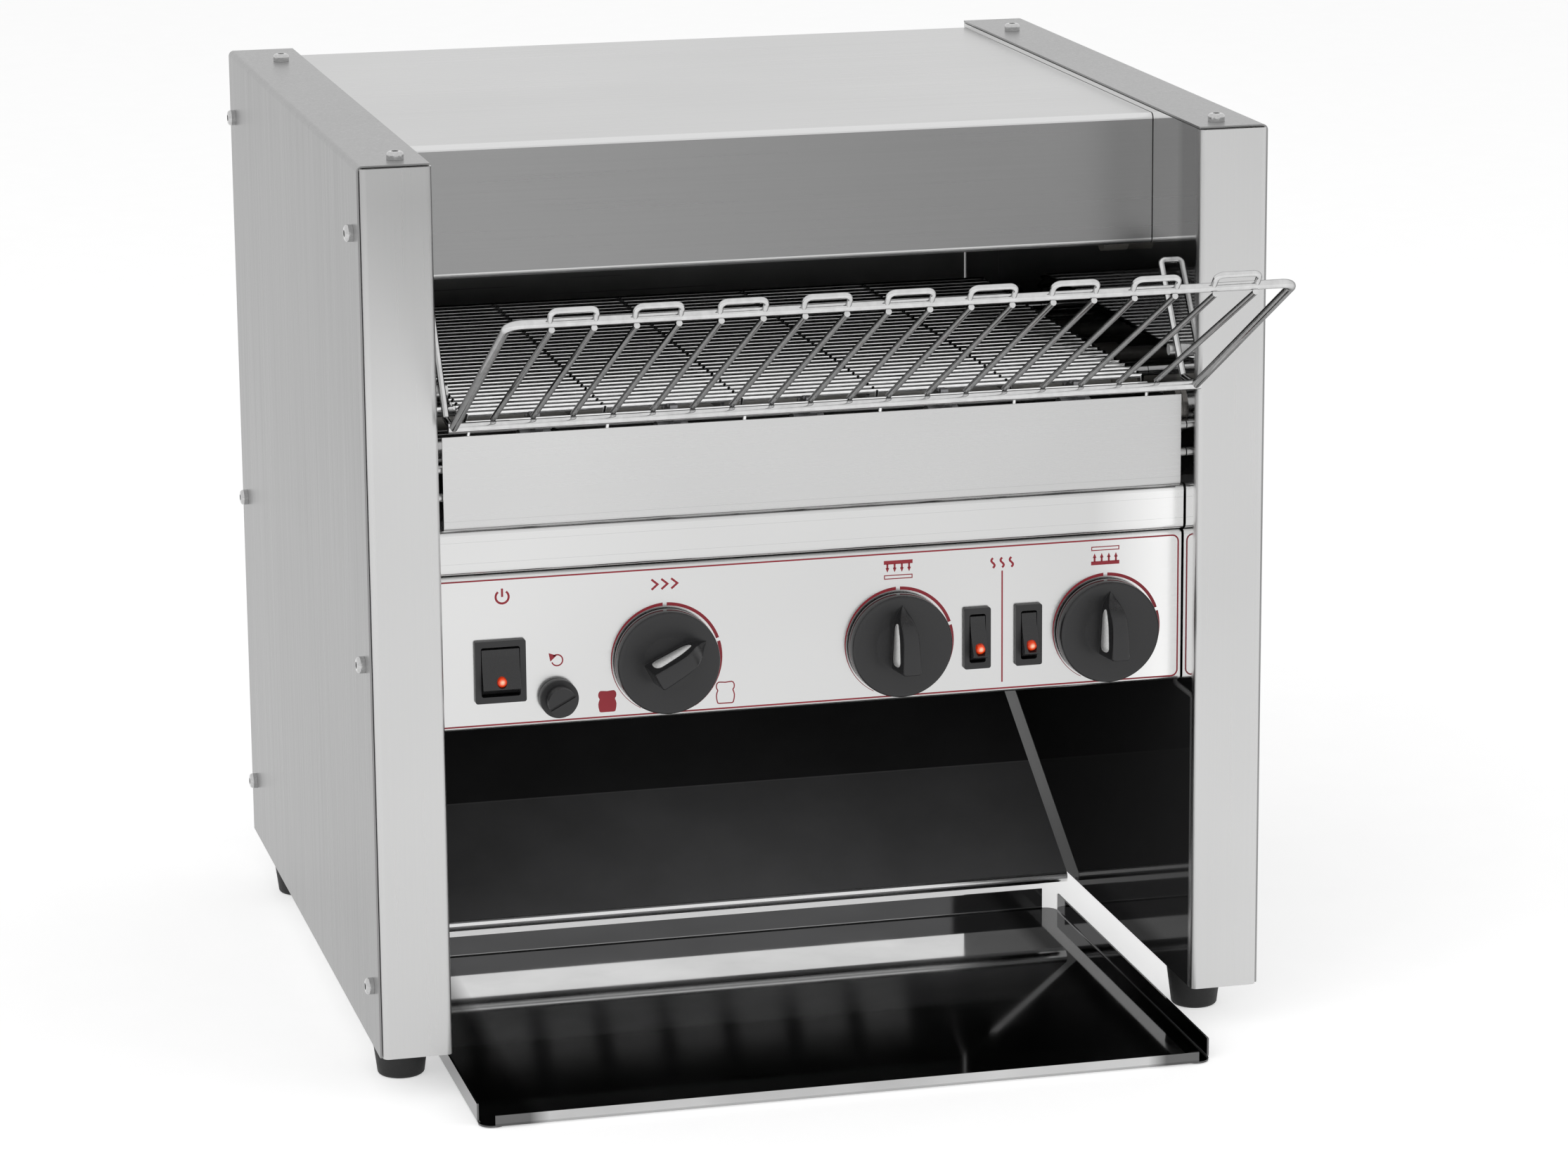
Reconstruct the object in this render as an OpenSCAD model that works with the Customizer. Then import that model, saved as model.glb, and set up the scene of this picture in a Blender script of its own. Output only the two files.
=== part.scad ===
// Conveyor toaster: bread slides down a wire rack onto a flat wire belt, passes
// between two banks of heating elements, drops behind the belt onto a sloping chute
// and slides out onto a collecting tray at the front.
//
// Axes: +Z is up and +Y runs from the front of the toaster to its back.
// Heights are above the worktop. Depths are behind the front faces of the two posts,
// and in_frame() moves them so that the origin is at the bottom centre of the whole.

/* [Casing] */
// Width over the two side covers
body_w = 475; // [440:1:520]
// Depth from the post fronts to the back of the side frames
body_d = 442; // [425:1:480]
// Height of the side covers above the worktop
body_h = 488; // [475:1:520]
// Width of each side compartment, from the inner wall to the outside of its cover
side_w = 37.5; // [35:0.5:45]
// Thickness of the casing sheet
sheet_t = 1.0; // [0.8:0.1:1.2]
// Centreline radius of an ordinary bend
bend_r = 2.5; // [1.8:0.1:3.5]
// How far the top cover lies below the side covers
hood_drop = 3.5; // [2:0.5:8]
// Depth of the top cover's vertical front behind the posts
hood_y = 79; // [70:1:95]
// Height of the lower edge of the top cover's front
hood_edge_z = 415; // [410:1:425]
// Height of the rubber feet
foot_h = 25; // [20:1:35]
// Radius of a foot at its top
foot_top_r = 15.5; // [12:0.5:16]
// Radius of a foot at its bottom
foot_bottom_r = 12.5; // [10:0.5:14]
// Distance of the feet from the front and the back of the casing
foot_inset = 52; // [40:1:80]

/* [Front panels] */
// Depth of the control fascia behind the posts
fascia_y = 23; // [20:1:30]
// Height of the lower edge of the control fascia
fascia_z = 190; // [180:1:200]
// Height of the control fascia
fascia_h = 82; // [78:1:90]
// Depth of the ledge above the fascia behind the posts
ledge_y = 20; // [17:0.5:20]
// Height of the ledge
ledge_h = 24; // [18:1:28]
// Depth of the apron below the loading rack behind the posts
apron_y = 14.5; // [12:0.5:15]
// Height of the apron
apron_h = 49; // [40:1:50]
// Corner radius of the apron
apron_corner = 8; // [4:1:15]
// Gap between a panel's end and the wall beside it
panel_gap = 0.7; // [0.4:0.1:1.5]

/* [Controls] */
// Sideways place of the speed knob
speed_x = -80; // [-90:1:-70]
// Sideways place of the line halfway between the two heating controls
heating_x = 101; // [95:1:105]
// Distance of each heating knob from that line
heat_knob_offset = 56.5; // [50:0.5:60]
// Distance of each heating switch from that line
heat_switch_offset = 14; // [12:0.5:16]
// Sideways place of the power switch
power_x = -167; // [-172:1:-160]
// Sideways place of the reset cap
reset_x = -137; // [-140:1:-134]
// Height of the switches and knobs above the lower edge of the fascia
control_rise = 31; // [30:0.5:40]
// Height of the reset cap above the lower edge of the fascia
reset_rise = 15; // [14:0.5:30]
// Diameter of a knob
knob_d = 55; // [45:1:56]
// Thickness of a knob's disc
knob_t = 9; // [7:0.5:12]
// Height of a knob's grip above its disc
grip_h = 24; // [16:0.5:26]
// Diameter of the reset cap
reset_d = 20; // [16:0.5:22]

/* [Wire belt] */
// Distance between two wires of the belt
belt_pitch = 9.525; // [9.2:0.025:9.8]
// Diameter of the belt wire
belt_wire_d = 2.5; // [1.8:0.1:3]
// Number of spaces across the belt
belt_spaces = 5; // [4:1:6]
// Width of one space across the belt
belt_space_w = 72; // [60:1:73]
// Number of pitches between the two belt shafts
run_links = 31; // [29:1:31]
// Number of teeth on a belt sprocket
sprocket_teeth = 12; // [12:4:12]
// Height of the belt's upper surface
belt_z = 354; // [350:1:356]
// Gap between the back of the apron and the belt where it turns
belt_front_gap = 2; // [1.5:0.5:6]
// Diameter of the two belt shafts
shaft_d = 12; // [10:0.5:14]

/* [Loading rack] */
// Depth of the rack's lower bar, where minus is in front of the posts
rack_low_y = -11.5; // [-20:0.5:-9]
// Height of the rack's lower bar
rack_low_z = 356.5; // [353:0.5:360]
// Length of the rack down its slope
rack_len = 169; // [120:1:200]
// Slope of the rack
rack_slope = 28; // [20:1:35]
// Number of gaps between the rack's rods
rack_gaps = 19; // [13:2:21]
// Width of the rack between the centres of its side rods
rack_w = 389; // [370:1:390]
// Diameter of the rack's rods
rod_d = 3; // [2.5:0.1:4]
// Diameter of the rack's frame wire
frame_wire_d = 4.5; // [4:0.1:5]
// Diameter of the rack's lower bar
low_bar_d = 5; // [5:0.1:6]
// Number of raised loops along the top of the rack
loop_count = 9; // [5:2:9]
// Depth of the hinge line where the rack's hooks enter the walls
hook_y = 47; // [44:1:52]
// Height of the hinge line where the rack's hooks enter the walls
hook_z = 411.5; // [408:0.5:416]

/* [Chute and tray] */
// Slope of the return chute
chute_slope = 30.4; // [27:0.2:31]
// Depth of the chute's lower folded corner behind the posts
chute_y = 207; // [195:1:225]
// Height of the chute's lower folded corner
chute_z = 23.5; // [22:0.5:32]
// How far the tray stands out in front of the posts
tray_out = 49; // [30:1:80]
// Length of the tray from front to back
tray_len = 285; // [250:1:300]
// Width of the tray over its side flanges
tray_w = 392; // [370:1:394]
// Height of the tray's side flanges
tray_side_h = 11; // [8:0.5:13]
// Height of the tray's front lip
tray_lip_h = 6.5; // [5:0.5:10]

/* [Hidden] */
$fn = 48;

// Clearance between a turning or sliding piece and its seat
run_gap = 0.08;
// Clearance between neighbouring pieces that only lie beside each other
fit_gap = 0.3;
// Overlap that makes two solids of one node a single solid
weld = 0.4;

// Casing, worked out
wall_x = body_w / 2 - side_w;
wall_out_x = wall_x + sheet_t;
cover_in_x = body_w / 2 - sheet_t;
post_out_x = cover_in_x - fit_gap;
side_mid_x = wall_x + side_w / 2;
cover_y0 = bend_r + sheet_t;
frame_top_z = body_h - sheet_t - fit_gap;
hood_z = body_h - hood_drop;
return_w = 30;
foot_bolt_d = 8;
foot_bolt_washer_r = 7;
foot_round_r = 2;
foot_ys = [foot_inset, body_d - foot_inset];

// Front panels, worked out
panel_x = wall_x - panel_gap;
fascia_top_z = fascia_z + fascia_h;
ledge_z0 = fascia_top_z + 0.8;
ledge_z1 = ledge_z0 + ledge_h;
apron_z0 = ledge_z1 + 0.5;
apron_z1 = apron_z0 + apron_h;
apron_x = wall_x - 4.3;
lip_w = 8;
box_back_y = 320;
deck_z = ledge_z1 - 6;

// Controls, worked out
control_z = fascia_z + control_rise;
reset_z = fascia_z + reset_rise;
knob_xs = [speed_x, heating_x - heat_knob_offset, heating_x + heat_knob_offset];
spindle_d = 6;
spindle_hole_d = 10;
knob_gap = 1.2;
wide_switch = [26.6, 32.8];
narrow_switch = [14.4, 32.8];
wide_rocker = [19.6, 25];
narrow_rocker = [8, 25];
// How far the lower ends of the rockers stand out from their bezels
wide_rocker_out = 4.5;
narrow_rocker_out = 7.5;
bezel_t = 2.5;
switch_body_inset = 2.2;
switch_depth = 25;
lamp_d = 5.2;

// Belt, worked out
sprocket_r = sprocket_teeth * belt_pitch / (2 * PI);
shaft_z = belt_z - belt_wire_d / 2 - sprocket_r;
front_axis_y = apron_y + sheet_t + belt_front_gap + sprocket_r + belt_wire_d / 2;
run_len = run_links * belt_pitch;
rear_axis_y = front_axis_y + run_len;
belt_w = belt_spaces * belt_space_w;
joint_xs = [for (i = [0 : belt_spaces]) -belt_w / 2 + i * belt_space_w];
sprocket_xs = [for (i = [0 : belt_spaces - 1]) -belt_w / 2 + (i + 0.5) * belt_space_w];
sprocket_t = 4;
bush_r = 10;
rail_spacing = 78;
rail_xs = [for (i = [-1.5 : 1.5]) i * rail_spacing];
chain_x = -(wall_out_x + 14);
chain_pitch = 9.525;
chain_wheel_teeth = 16;
motor_teeth = 12;
motor_y = rear_axis_y - 150;
motor_z = fascia_z + 42;

// Rack, worked out
rack_x = rack_w / 2;
rack_dir = [-cos(rack_slope), sin(rack_slope)];
rack_normal = [sin(rack_slope), cos(rack_slope)];
rack_low = [rack_low_y, rack_low_z];
rack_top = rack_low + rack_len * rack_dir;
rod_pitch = rack_w / rack_gaps;
loop_w = rod_pitch + 1.5;
loop_tip = rack_top + 9 * [-cos(50), sin(50)];
hook_wire_d = 3.5;
hook = [hook_y, hook_z];
leg_low = [8, rack_low_z + 0.5];
leg_dir = (hook - leg_low) / norm(hook - leg_low);
finger_x = belt_w / 2 + 5.4;
stud_d = 6;
stud_len = 9;
stud_at = leg_low + 18 * leg_dir
  + (stud_d / 2 + hook_wire_d / 2 + 0.15) * [leg_dir[1], -leg_dir[0]];

// Chute and tray, worked out
chute_x = wall_x - 3.5;
chute_back_y = body_d - sheet_t - 3;
chute_back_z = chute_z + (chute_back_y - chute_y) * tan(chute_slope);
rear_panel_z0 = chute_back_z - 14;
tray_gap = 0.5;
tray_y0 = -tray_out;
tray_y1 = tray_y0 + tray_len;
tray_back_h = tray_side_h + 1.5;

// Heating, worked out
heater_d = 8;
upper_heater_z = hood_edge_z - 4;
upper_heater_ys = [for (i = [0 : 3]) hood_y + 46 + i * 62];
lower_heater_ys = [for (i = [0 : 2]) front_axis_y + 72 + i * 74];
reflector_z = hood_edge_z + 18;
fan_at = [wall_x - 97, box_back_y - 72];
fan_r = 46;

// Whole object, worked out
gland_len = 12;
gland_hole_r = 9;
front_y = loop_tip[0] - rod_d / 2;
back_y = body_d + gland_len;
mid_y = (front_y + back_y) / 2;

steel = "silver";
dark_steel = "dimgray";
plastic = [0.1, 0.1, 0.11];

// ---------------------------------------------------------------- helpers

module in_frame() translate([0, -mid_y, 0]) children();

// Both mirror images of the children across the middle plane
module both_sides() for (side = [0, 1]) mirror([side, 0, 0]) children();

// A profile drawn in depth and height, extruded sideways from x0 to x1
module along_x(x0, x1) translate([x0, 0, 0]) rotate([90, 0, 90]) linear_extrude(x1 - x0) children();

// A profile drawn in width and height, extruded backwards from y0 to y1
module along_y(y0, y1) translate([0, y1, 0]) rotate([90, 0, 0]) linear_extrude(y1 - y0) children();

// A profile drawn in plan, extruded upwards from z0 to z1
module along_z(z0, z1) translate([0, 0, z0]) linear_extrude(z1 - z0) children();

module rod_x(x0, x1, y, z, r) translate([x0, y, z]) rotate([0, 90, 0]) cylinder(r = r, h = x1 - x0);

module rod_y(y0, y1, x, z, r) translate([x, y0, z]) rotate([-90, 0, 0]) cylinder(r = r, h = y1 - y0);

function unit(v) = v / norm(v);
function left_of(v) = [-v[1], v[0]];

// One face of a bent sheet: its centre line, moved sideways by d, with bends of radius r
function bent_side(path, r, d) = [
  for (i = [0 : len(path) - 1])
    let (
      last = len(path) - 1,
      into = i > 0 ? unit(path[i] - path[i - 1]) : unit(path[1] - path[0]),
      out = i < last ? unit(path[i + 1] - path[i]) : into,
      turn = atan2(into[0] * out[1] - into[1] * out[0], into * out),
      side = turn < 0 ? -1 : 1,
      corner = path[i] - r * tan(abs(turn) / 2) * into + side * r * left_of(into),
      start = atan2(-side * left_of(into)[1], -side * left_of(into)[0]),
      steps = max(2, ceil(abs(turn) / 15))
    )
    each (abs(turn) < 1
      ? [path[i] + d * left_of(into)]
      : [for (k = [0 : steps]) let (a = start + turn * k / steps)
          corner + (r - side * d) * [cos(a), sin(a)]])
];

function reversed(list) = [for (i = [len(list) - 1 : -1 : 0]) list[i]];

// Cross-section of a folded sheet that follows a centre line
module bent_sheet(path, t = sheet_t, r = bend_r)
  polygon(concat(bent_side(path, r, t / 2), reversed(bent_side(path, r, -t / 2))));

module rounded_rect(w, h, r) {
  square([w - 2 * r, h], center = true);
  square([w, h - 2 * r], center = true);
  for (x = [-1, 1], y = [-1, 1]) translate([x * (w / 2 - r), y * (h / 2 - r)]) circle(r);
}

// A straight round wire between two points
module straight_wire(a, b, d) {
  v = b - a;
  translate(a)
    rotate([0, acos(v[2] / norm(v)), atan2(v[1], v[0])])
      cylinder(d = d, h = norm(v));
}

function turn_of(path, i) = i == 0 || i == len(path) - 1 ? 0
  : acos(unit(path[i] - path[i - 1]) * unit(path[i + 1] - path[i]));

// How far a straight wire runs into the bend after it
wire_tuck = 0.2;
// How much thicker the bend is
wire_swell = 0.06;

function set_back(path, i, r) = turn_of(path, i) == 0 ? 0
  : r * tan(turn_of(path, i) / 2) - wire_tuck;

// A round wire along a path of points, bent to radius r at each corner
module wire(path, d, r) {
  for (i = [0 : len(path) - 2]) {
    way = unit(path[i + 1] - path[i]);
    straight_wire(
      path[i] + set_back(path, i, r) * way,
      path[i + 1] - set_back(path, i + 1, r) * way,
      d
    );
  }
  if (len(path) > 2)
    for (i = [1 : len(path) - 2]) wire_bend(path[i - 1], path[i], path[i + 1], d, r);
}

module wire_bend(before, corner, after, d, r) {
  into = unit(corner - before);
  out = unit(after - corner);
  turn = acos(into * out);
  centre = corner + unit(out - into) * r / cos(turn / 2);
  u = unit(corner - r * tan(turn / 2) * into - centre);
  n = unit(cross(into, out));
  multmatrix([
    [u[0], into[0], n[0], centre[0]],
    [u[1], into[1], n[1], centre[1]],
    [u[2], into[2], n[2], centre[2]]
  ])
    rotate_extrude(angle = turn) translate([r, 0]) circle(d = d + wire_swell);
}

// ---------------------------------------------------------------- casing

// Folded sheet in plan: front post, inner wall and rear flange, with a floor for the feet
module side_frame() {
  difference() {
    union() {
      along_z(foot_h, frame_top_z) bent_sheet([
        [post_out_x - sheet_t / 2, return_w],
        [post_out_x - sheet_t / 2, sheet_t / 2],
        [wall_x + sheet_t / 2, sheet_t / 2],
        [wall_x + sheet_t / 2, body_d - sheet_t / 2],
        [post_out_x - sheet_t / 2, body_d - sheet_t / 2],
        [post_out_x - sheet_t / 2, body_d - return_w]
      ]);
      for (z = [foot_h, frame_top_z - sheet_t])
        translate([wall_out_x - weld, sheet_t + bend_r, z])
          cube([post_out_x - wall_out_x - sheet_t, body_d - 2 * (sheet_t + bend_r), sheet_t]);
    }
    for (y = foot_ys)
      translate([side_mid_x, y, foot_h - 1]) cylinder(d = foot_bolt_d + 0.6, h = sheet_t + 2);
    rod_x(wall_x - 1, wall_out_x + 1, hook_y, hook_z, hook_wire_d / 2 + run_gap);
    for (y = [front_axis_y, rear_axis_y])
      rod_x(wall_x - 1, wall_out_x + 1, y, shaft_z, bush_r + run_gap);
    at_cover_screws() cylinder(r = screw_hole_r, h = 12, center = true);
    // Outer flanges are lower where the cover bends over them
    translate([post_out_x - sheet_t - 0.2, cover_y0 - fit_gap, body_h - bend_r - sheet_t / 2])
      cube([2 * sheet_t, body_d, bend_r + sheet_t]);
  }
  // Stud that the loading rack's leg leans on
  rod_x(wall_x - stud_len, wall_x + weld, stud_at[0], stud_at[1], stud_d / 2);
}

module side_frame_left() color(steel) in_frame() difference() {
  mirror([1, 0, 0]) side_frame();
  rod_x(-wall_out_x - 1, -wall_x + 1, motor_y, motor_z, 11);
  rod_y(body_d - sheet_t - 1, body_d + 1, -side_mid_x, foot_h + 40, gland_hole_r);
}

module side_frame_right() color(steel) in_frame() side_frame();

// Outer cover: side and top flange in one folded sheet, open underneath and inside
module side_cover() difference() {
  along_y(cover_y0, body_d - 0.5) bent_sheet([
    [body_w / 2 - sheet_t / 2, foot_h],
    [body_w / 2 - sheet_t / 2, body_h - sheet_t / 2],
    [wall_x + 0.5, body_h - sheet_t / 2]
  ]);
  at_cover_screws() cylinder(r = screw_hole_r, h = 12, center = true);
}

module side_cover_left() color(steel) in_frame() mirror([1, 0, 0]) side_cover();

module side_cover_right() color(steel) in_frame() side_cover();

// Top cover: roof, vertical front and a hem turned back under the front's lower edge
module hood() color(steel) in_frame()
  along_x(-wall_x + fit_gap, wall_x - fit_gap) bent_sheet([
    [body_d - sheet_t - 2, hood_z - 18],
    [body_d - sheet_t - 2, hood_z - sheet_t / 2],
    [hood_y + sheet_t / 2, hood_z - sheet_t / 2],
    [hood_y + sheet_t / 2, hood_edge_z + sheet_t / 2],
    [hood_y + 16, hood_edge_z + sheet_t / 2]
  ]);

// Back of the heating chamber, with rows of cooling slots
module rear_panel() {
  slot_w = 30;
  panel_y1 = body_d - sheet_t - 3.2;
  color(steel) in_frame() difference() {
    translate([-panel_x, panel_y1 - sheet_t, rear_panel_z0])
      cube([2 * panel_x, sheet_t, hood_z - 4 - rear_panel_z0]);
    for (row = [0 : 2], i = [-4 : 4])
      translate([i * 40, panel_y1 + 1, fascia_z + 12 + row * 14])
        rotate([90, 0, 0]) along_z(0, sheet_t + 2) slot(slot_w, 4);
  }
}

module slot(len, w) {
  square([len - w, w], center = true);
  for (x = [-1, 1]) translate([x * (len - w) / 2, 0]) circle(d = w);
}

// ---------------------------------------------------------------- front panels

// Plate with rounded upper corners and folded edges, below the loading rack
module apron() color(steel) in_frame() {
  fold = 5;
  along_y(apron_y, apron_y + sheet_t) difference() {
    translate([-apron_x, apron_z0 + fold]) square([2 * apron_x, apron_h - fold]);
    for (side = [-1, 1]) translate([side * apron_x, apron_z1])
      difference() {
        square(2 * apron_corner, center = true);
        translate(-apron_corner * [side, 1]) circle(apron_corner);
        translate([-side * apron_corner, 0]) square([2 * apron_corner, 4 * apron_corner], center = true);
      }
  }
  along_x(-apron_x, apron_x) bent_sheet([
    [apron_y + sheet_t / 2, apron_z0 + fold + weld],
    [apron_y + sheet_t / 2, apron_z0 + sheet_t / 2],
    [apron_y + lip_w - 3, apron_z0 + sheet_t / 2]
  ]);
  // Side tabs with the pins that hold the apron in the walls
  tab_x = apron_x - 2.5;
  both_sides() {
    translate([tab_x, apron_y + sheet_t - weld, apron_z0 + 10])
      cube([sheet_t, 10, apron_h - 22]);
    for (z = [apron_z0 + 17, apron_z0 + 31.5])
      rod_x(tab_x + weld, wall_x - fit_gap, apron_y + sheet_t + 4.5, z, 2.2);
  }
}

// Narrow band between the apron and the fascia, rolled at its lower edge
module ledge() color(steel) in_frame()
  along_x(-panel_x, panel_x) bent_sheet([
    [ledge_y + 22, ledge_z1 - sheet_t / 2],
    [ledge_y + sheet_t / 2, ledge_z1 - sheet_t / 2],
    [ledge_y + sheet_t / 2, ledge_z0 + sheet_t / 2],
    [ledge_y + 12, ledge_z0 + sheet_t / 2]
  ]);

// Control fascia with its cut-outs
module control_fascia() color(steel) in_frame() difference() {
  along_x(-panel_x, panel_x) bent_sheet([
    [fascia_y + lip_w, fascia_top_z - sheet_t / 2],
    [fascia_y + sheet_t / 2, fascia_top_z - sheet_t / 2],
    [fascia_y + sheet_t / 2, fascia_z + sheet_t / 2],
    [fascia_y + lip_w, fascia_z + sheet_t / 2]
  ]);
  for (x = knob_xs) rod_y(fascia_y - 1, fascia_y + 2, x, control_z, spindle_hole_d / 2);
  rod_y(fascia_y - 1, fascia_y + 2, reset_x, reset_z, 5.3);
  switch_hole(power_x, wide_switch);
  for (side = [-1, 1]) switch_hole(heating_x + side * heat_switch_offset, narrow_switch);
}

module switch_hole(x, size)
  translate([x, fascia_y + 1, control_z])
    cube([size[0] - switch_body_inset * 1.6, 6, size[1] - 2], center = true);

// Box under the conveyor: floor with the fan grille, and a rear wall
module control_box() color(dark_steel) in_frame() difference() {
  along_x(-panel_x, panel_x) bent_sheet([
    [fascia_y + sheet_t + bend_r, fascia_z + sheet_t * 1.5 + fit_gap],
    [box_back_y, fascia_z + sheet_t * 1.5 + fit_gap],
    [box_back_y, deck_z - sheet_t - fit_gap]
  ]);
  translate([fan_at[0], fan_at[1], fascia_z - 1]) fan_grille_cut(6);
}

// Four rings of curved slots parted by radial ribs
module fan_grille_cut(h) {
  slot_w = 4;
  rib_w = 4.5;
  for (ring = [0 : 3]) {
    r = fan_r - slot_w / 2 - ring * 7;
    linear_extrude(h) difference() {
      circle(r + slot_w / 2);
      circle(r - slot_w / 2);
      for (a = [0 : 45 : 135]) rotate(a + 22.5 * (ring % 2)) square([2 * fan_r + 4, rib_w], center = true);
    }
  }
}

// Flat lid of the control box, which also reflects heat up at the lower belt run
module deck_plate() color(dark_steel) in_frame()
  translate([-panel_x, ledge_y + sheet_t + fit_gap + 2, deck_z - sheet_t])
    cube([2 * panel_x, box_back_y + sheet_t / 2 - (ledge_y + sheet_t + fit_gap + 2), sheet_t]);

// ---------------------------------------------------------------- chute and tray

// Sloping sheet with a roll at its lower edge and a flange against the rear panel
module return_chute() color(dark_steel) in_frame()
  along_x(-chute_x, chute_x) bent_sheet([
    [chute_back_y - 2.2, chute_back_z + 20],
    [chute_back_y - 2.2, chute_back_z],
    [chute_y, chute_z],
    [chute_y + 14, chute_z - 1.2]
  ], r = 3);

// Shallow tray that lies on the worktop between the feet
module collecting_tray() color(dark_steel) in_frame() {
  z0 = tray_gap;
  corner_gap = 8;
  side_path = [
    [tray_w / 2 - 12, z0 + sheet_t / 2],
    [tray_w / 2 - sheet_t / 2, z0 + sheet_t / 2],
    [tray_w / 2 - sheet_t / 2, z0 + tray_side_h]
  ];
  front_path = [
    [tray_y0 + 10, z0 + sheet_t / 2],
    [tray_y0 + sheet_t / 2, z0 + sheet_t / 2],
    [tray_y0 + sheet_t / 2, z0 + tray_lip_h]
  ];
  back_path = [
    [tray_y1 - 10, z0 + sheet_t / 2],
    [tray_y1 - sheet_t / 2, z0 + sheet_t / 2],
    [tray_y1 - sheet_t / 2, z0 + tray_back_h]
  ];
  along_z(z0, z0 + sheet_t) difference() {
    translate([-tray_w / 2 + corner_gap, tray_y0 + corner_gap])
      square([tray_w - 2 * corner_gap, tray_len - 2 * corner_gap]);
  }
  both_sides() along_y(tray_y0 + corner_gap, tray_y1 - corner_gap) bent_sheet(side_path, r = 1.5);
  for (path = [front_path, back_path])
    along_x(-tray_w / 2 + corner_gap, tray_w / 2 - corner_gap) bent_sheet(path, r = 1.5);
  // Rounded floor at the four corners, where the flanges stop
  for (x = [-1, 1], y = [tray_y0 + corner_gap, tray_y1 - corner_gap])
    translate([x * (tray_w / 2 - corner_gap), y, z0]) cylinder(r = corner_gap - sheet_t / 2, h = sheet_t);
}

// ---------------------------------------------------------------- loading rack

function at(x, p) = [x, p[0], p[1]];

// Sloping wire rack: frame wire, lower bar, rods and raised loops along the top bar
module loading_rack() color("gainsboro") in_frame() {
  low_rest = (low_bar_d + rod_d) / 2 - weld;
  top_rest = (frame_wire_d + rod_d) / 2 - weld;
  wire([
    at(-rack_x, rack_low), at(-rack_x, rack_top), at(rack_x, rack_top), at(rack_x, rack_low)
  ], frame_wire_d, 7);
  rod_x(-rack_x - 2.7, rack_x + 2.7, rack_low[0], rack_low[1], low_bar_d / 2);
  for (i = [1 : rack_gaps - 1])
    straight_wire(
      at(-rack_x + i * rod_pitch, rack_low + low_rest * rack_normal),
      at(-rack_x + i * rod_pitch, rack_top - top_rest * rack_normal),
      rod_d
    );
  for (i = [-(loop_count - 1) / 2 : (loop_count - 1) / 2]) {
    x = i * 2 * rod_pitch;
    wire([
      at(x - loop_w / 2, rack_top), at(x - loop_w / 2, loop_tip),
      at(x + loop_w / 2, loop_tip), at(x + loop_w / 2, rack_top)
    ], rod_d, 3.5);
  }
}

// Wires welded behind the lower bar: at each side a leg that hooks into the wall,
// and a short finger that leads to the belt
module rack_hooks() color("gainsboro") in_frame() both_sides() {
  start = rack_low + [(low_bar_d + hook_wire_d) / 2 + 0.05, 0];
  wire([
    at(finger_x - rod_pitch, start), at(rack_x, start),
    at(rack_x, leg_low), at(rack_x, hook), [wall_out_x + 3, hook_y, hook_z]
  ], hook_wire_d, 2.4);
  straight_wire(at(finger_x, start), at(finger_x, rack_low + [20, -4]), rod_d);
}

// ---------------------------------------------------------------- wire belt

// One cross wire at the origin, with the small links that join it to the next wire,
// which lies one pitch further along +Y
module belt_row(link = belt_pitch) {
  rod_x(-belt_w / 2 - 1, belt_w / 2 + 1, 0, 0, belt_wire_d / 2);
  for (x = joint_xs)
    straight_wire([x - 1.4, 0, 0], [x + 1.4, link, 0], belt_wire_d * 0.8);
}

// Turn of the belt from one sprocket tooth to the next, and the straight distance
belt_step = 360 / sprocket_teeth;
belt_chord = 2 * sprocket_r * sin(belt_step / 2);
// Last links of a run or a bend, which stop short of the first wire of the next one
short_link = belt_pitch - belt_wire_d / 2 - 0.45;

// Straight run of cross wires between the two bends
module belt_run() {
  last = run_links - 1;
  for (i = [1 : last])
    translate([0, i * belt_pitch, 0]) belt_row(i < last ? belt_pitch : short_link);
}

// Cross wires around a sprocket, with a last link that leads straight on to the run
module belt_bend() {
  last = sprocket_teeth / 2;
  for (i = [0 : last])
    rotate([-i * belt_step, 0, 0]) translate([0, 0, sprocket_r])
      rotate([i < last ? -belt_step / 2 : 0, 0, 0]) belt_row(i < last ? belt_chord : short_link);
}

module belt_upper_run() color("gainsboro") in_frame()
  translate([0, front_axis_y, shaft_z + sprocket_r]) belt_run();

module belt_lower_run() color("gainsboro") in_frame()
  translate([0, rear_axis_y, shaft_z - sprocket_r]) rotate([180, 0, 0]) belt_run();

module belt_rear_bend() color("gainsboro") in_frame()
  translate([0, rear_axis_y, shaft_z]) belt_bend();

module belt_front_bend() color("gainsboro") in_frame()
  translate([0, front_axis_y, shaft_z]) rotate([180, 0, 0]) belt_bend();

// Flat bars on edge that carry the upper run between the sprockets, threaded on two rods
module belt_support_rails() color(dark_steel) in_frame() {
  rail_t = 2;
  rail_h = 10;
  rod_r = 3;
  top = belt_z - belt_wire_d - fit_gap;
  y0 = front_axis_y + sprocket_r + 6;
  y1 = rear_axis_y - sprocket_r - 6;
  rod_ys = [y0 + 25, y1 - 25];
  for (x = rail_xs) difference() {
    translate([x - rail_t / 2, y0, top - rail_h]) cube([rail_t, y1 - y0, rail_h]);
    for (y = rod_ys) rod_x(x - rail_t, x + rail_t, y, top - 6, rod_r + 0.05);
  }
  for (y = rod_ys) rod_x(-wall_x + 0.2, wall_x - 0.2, y, top - 6, rod_r);
}

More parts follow.
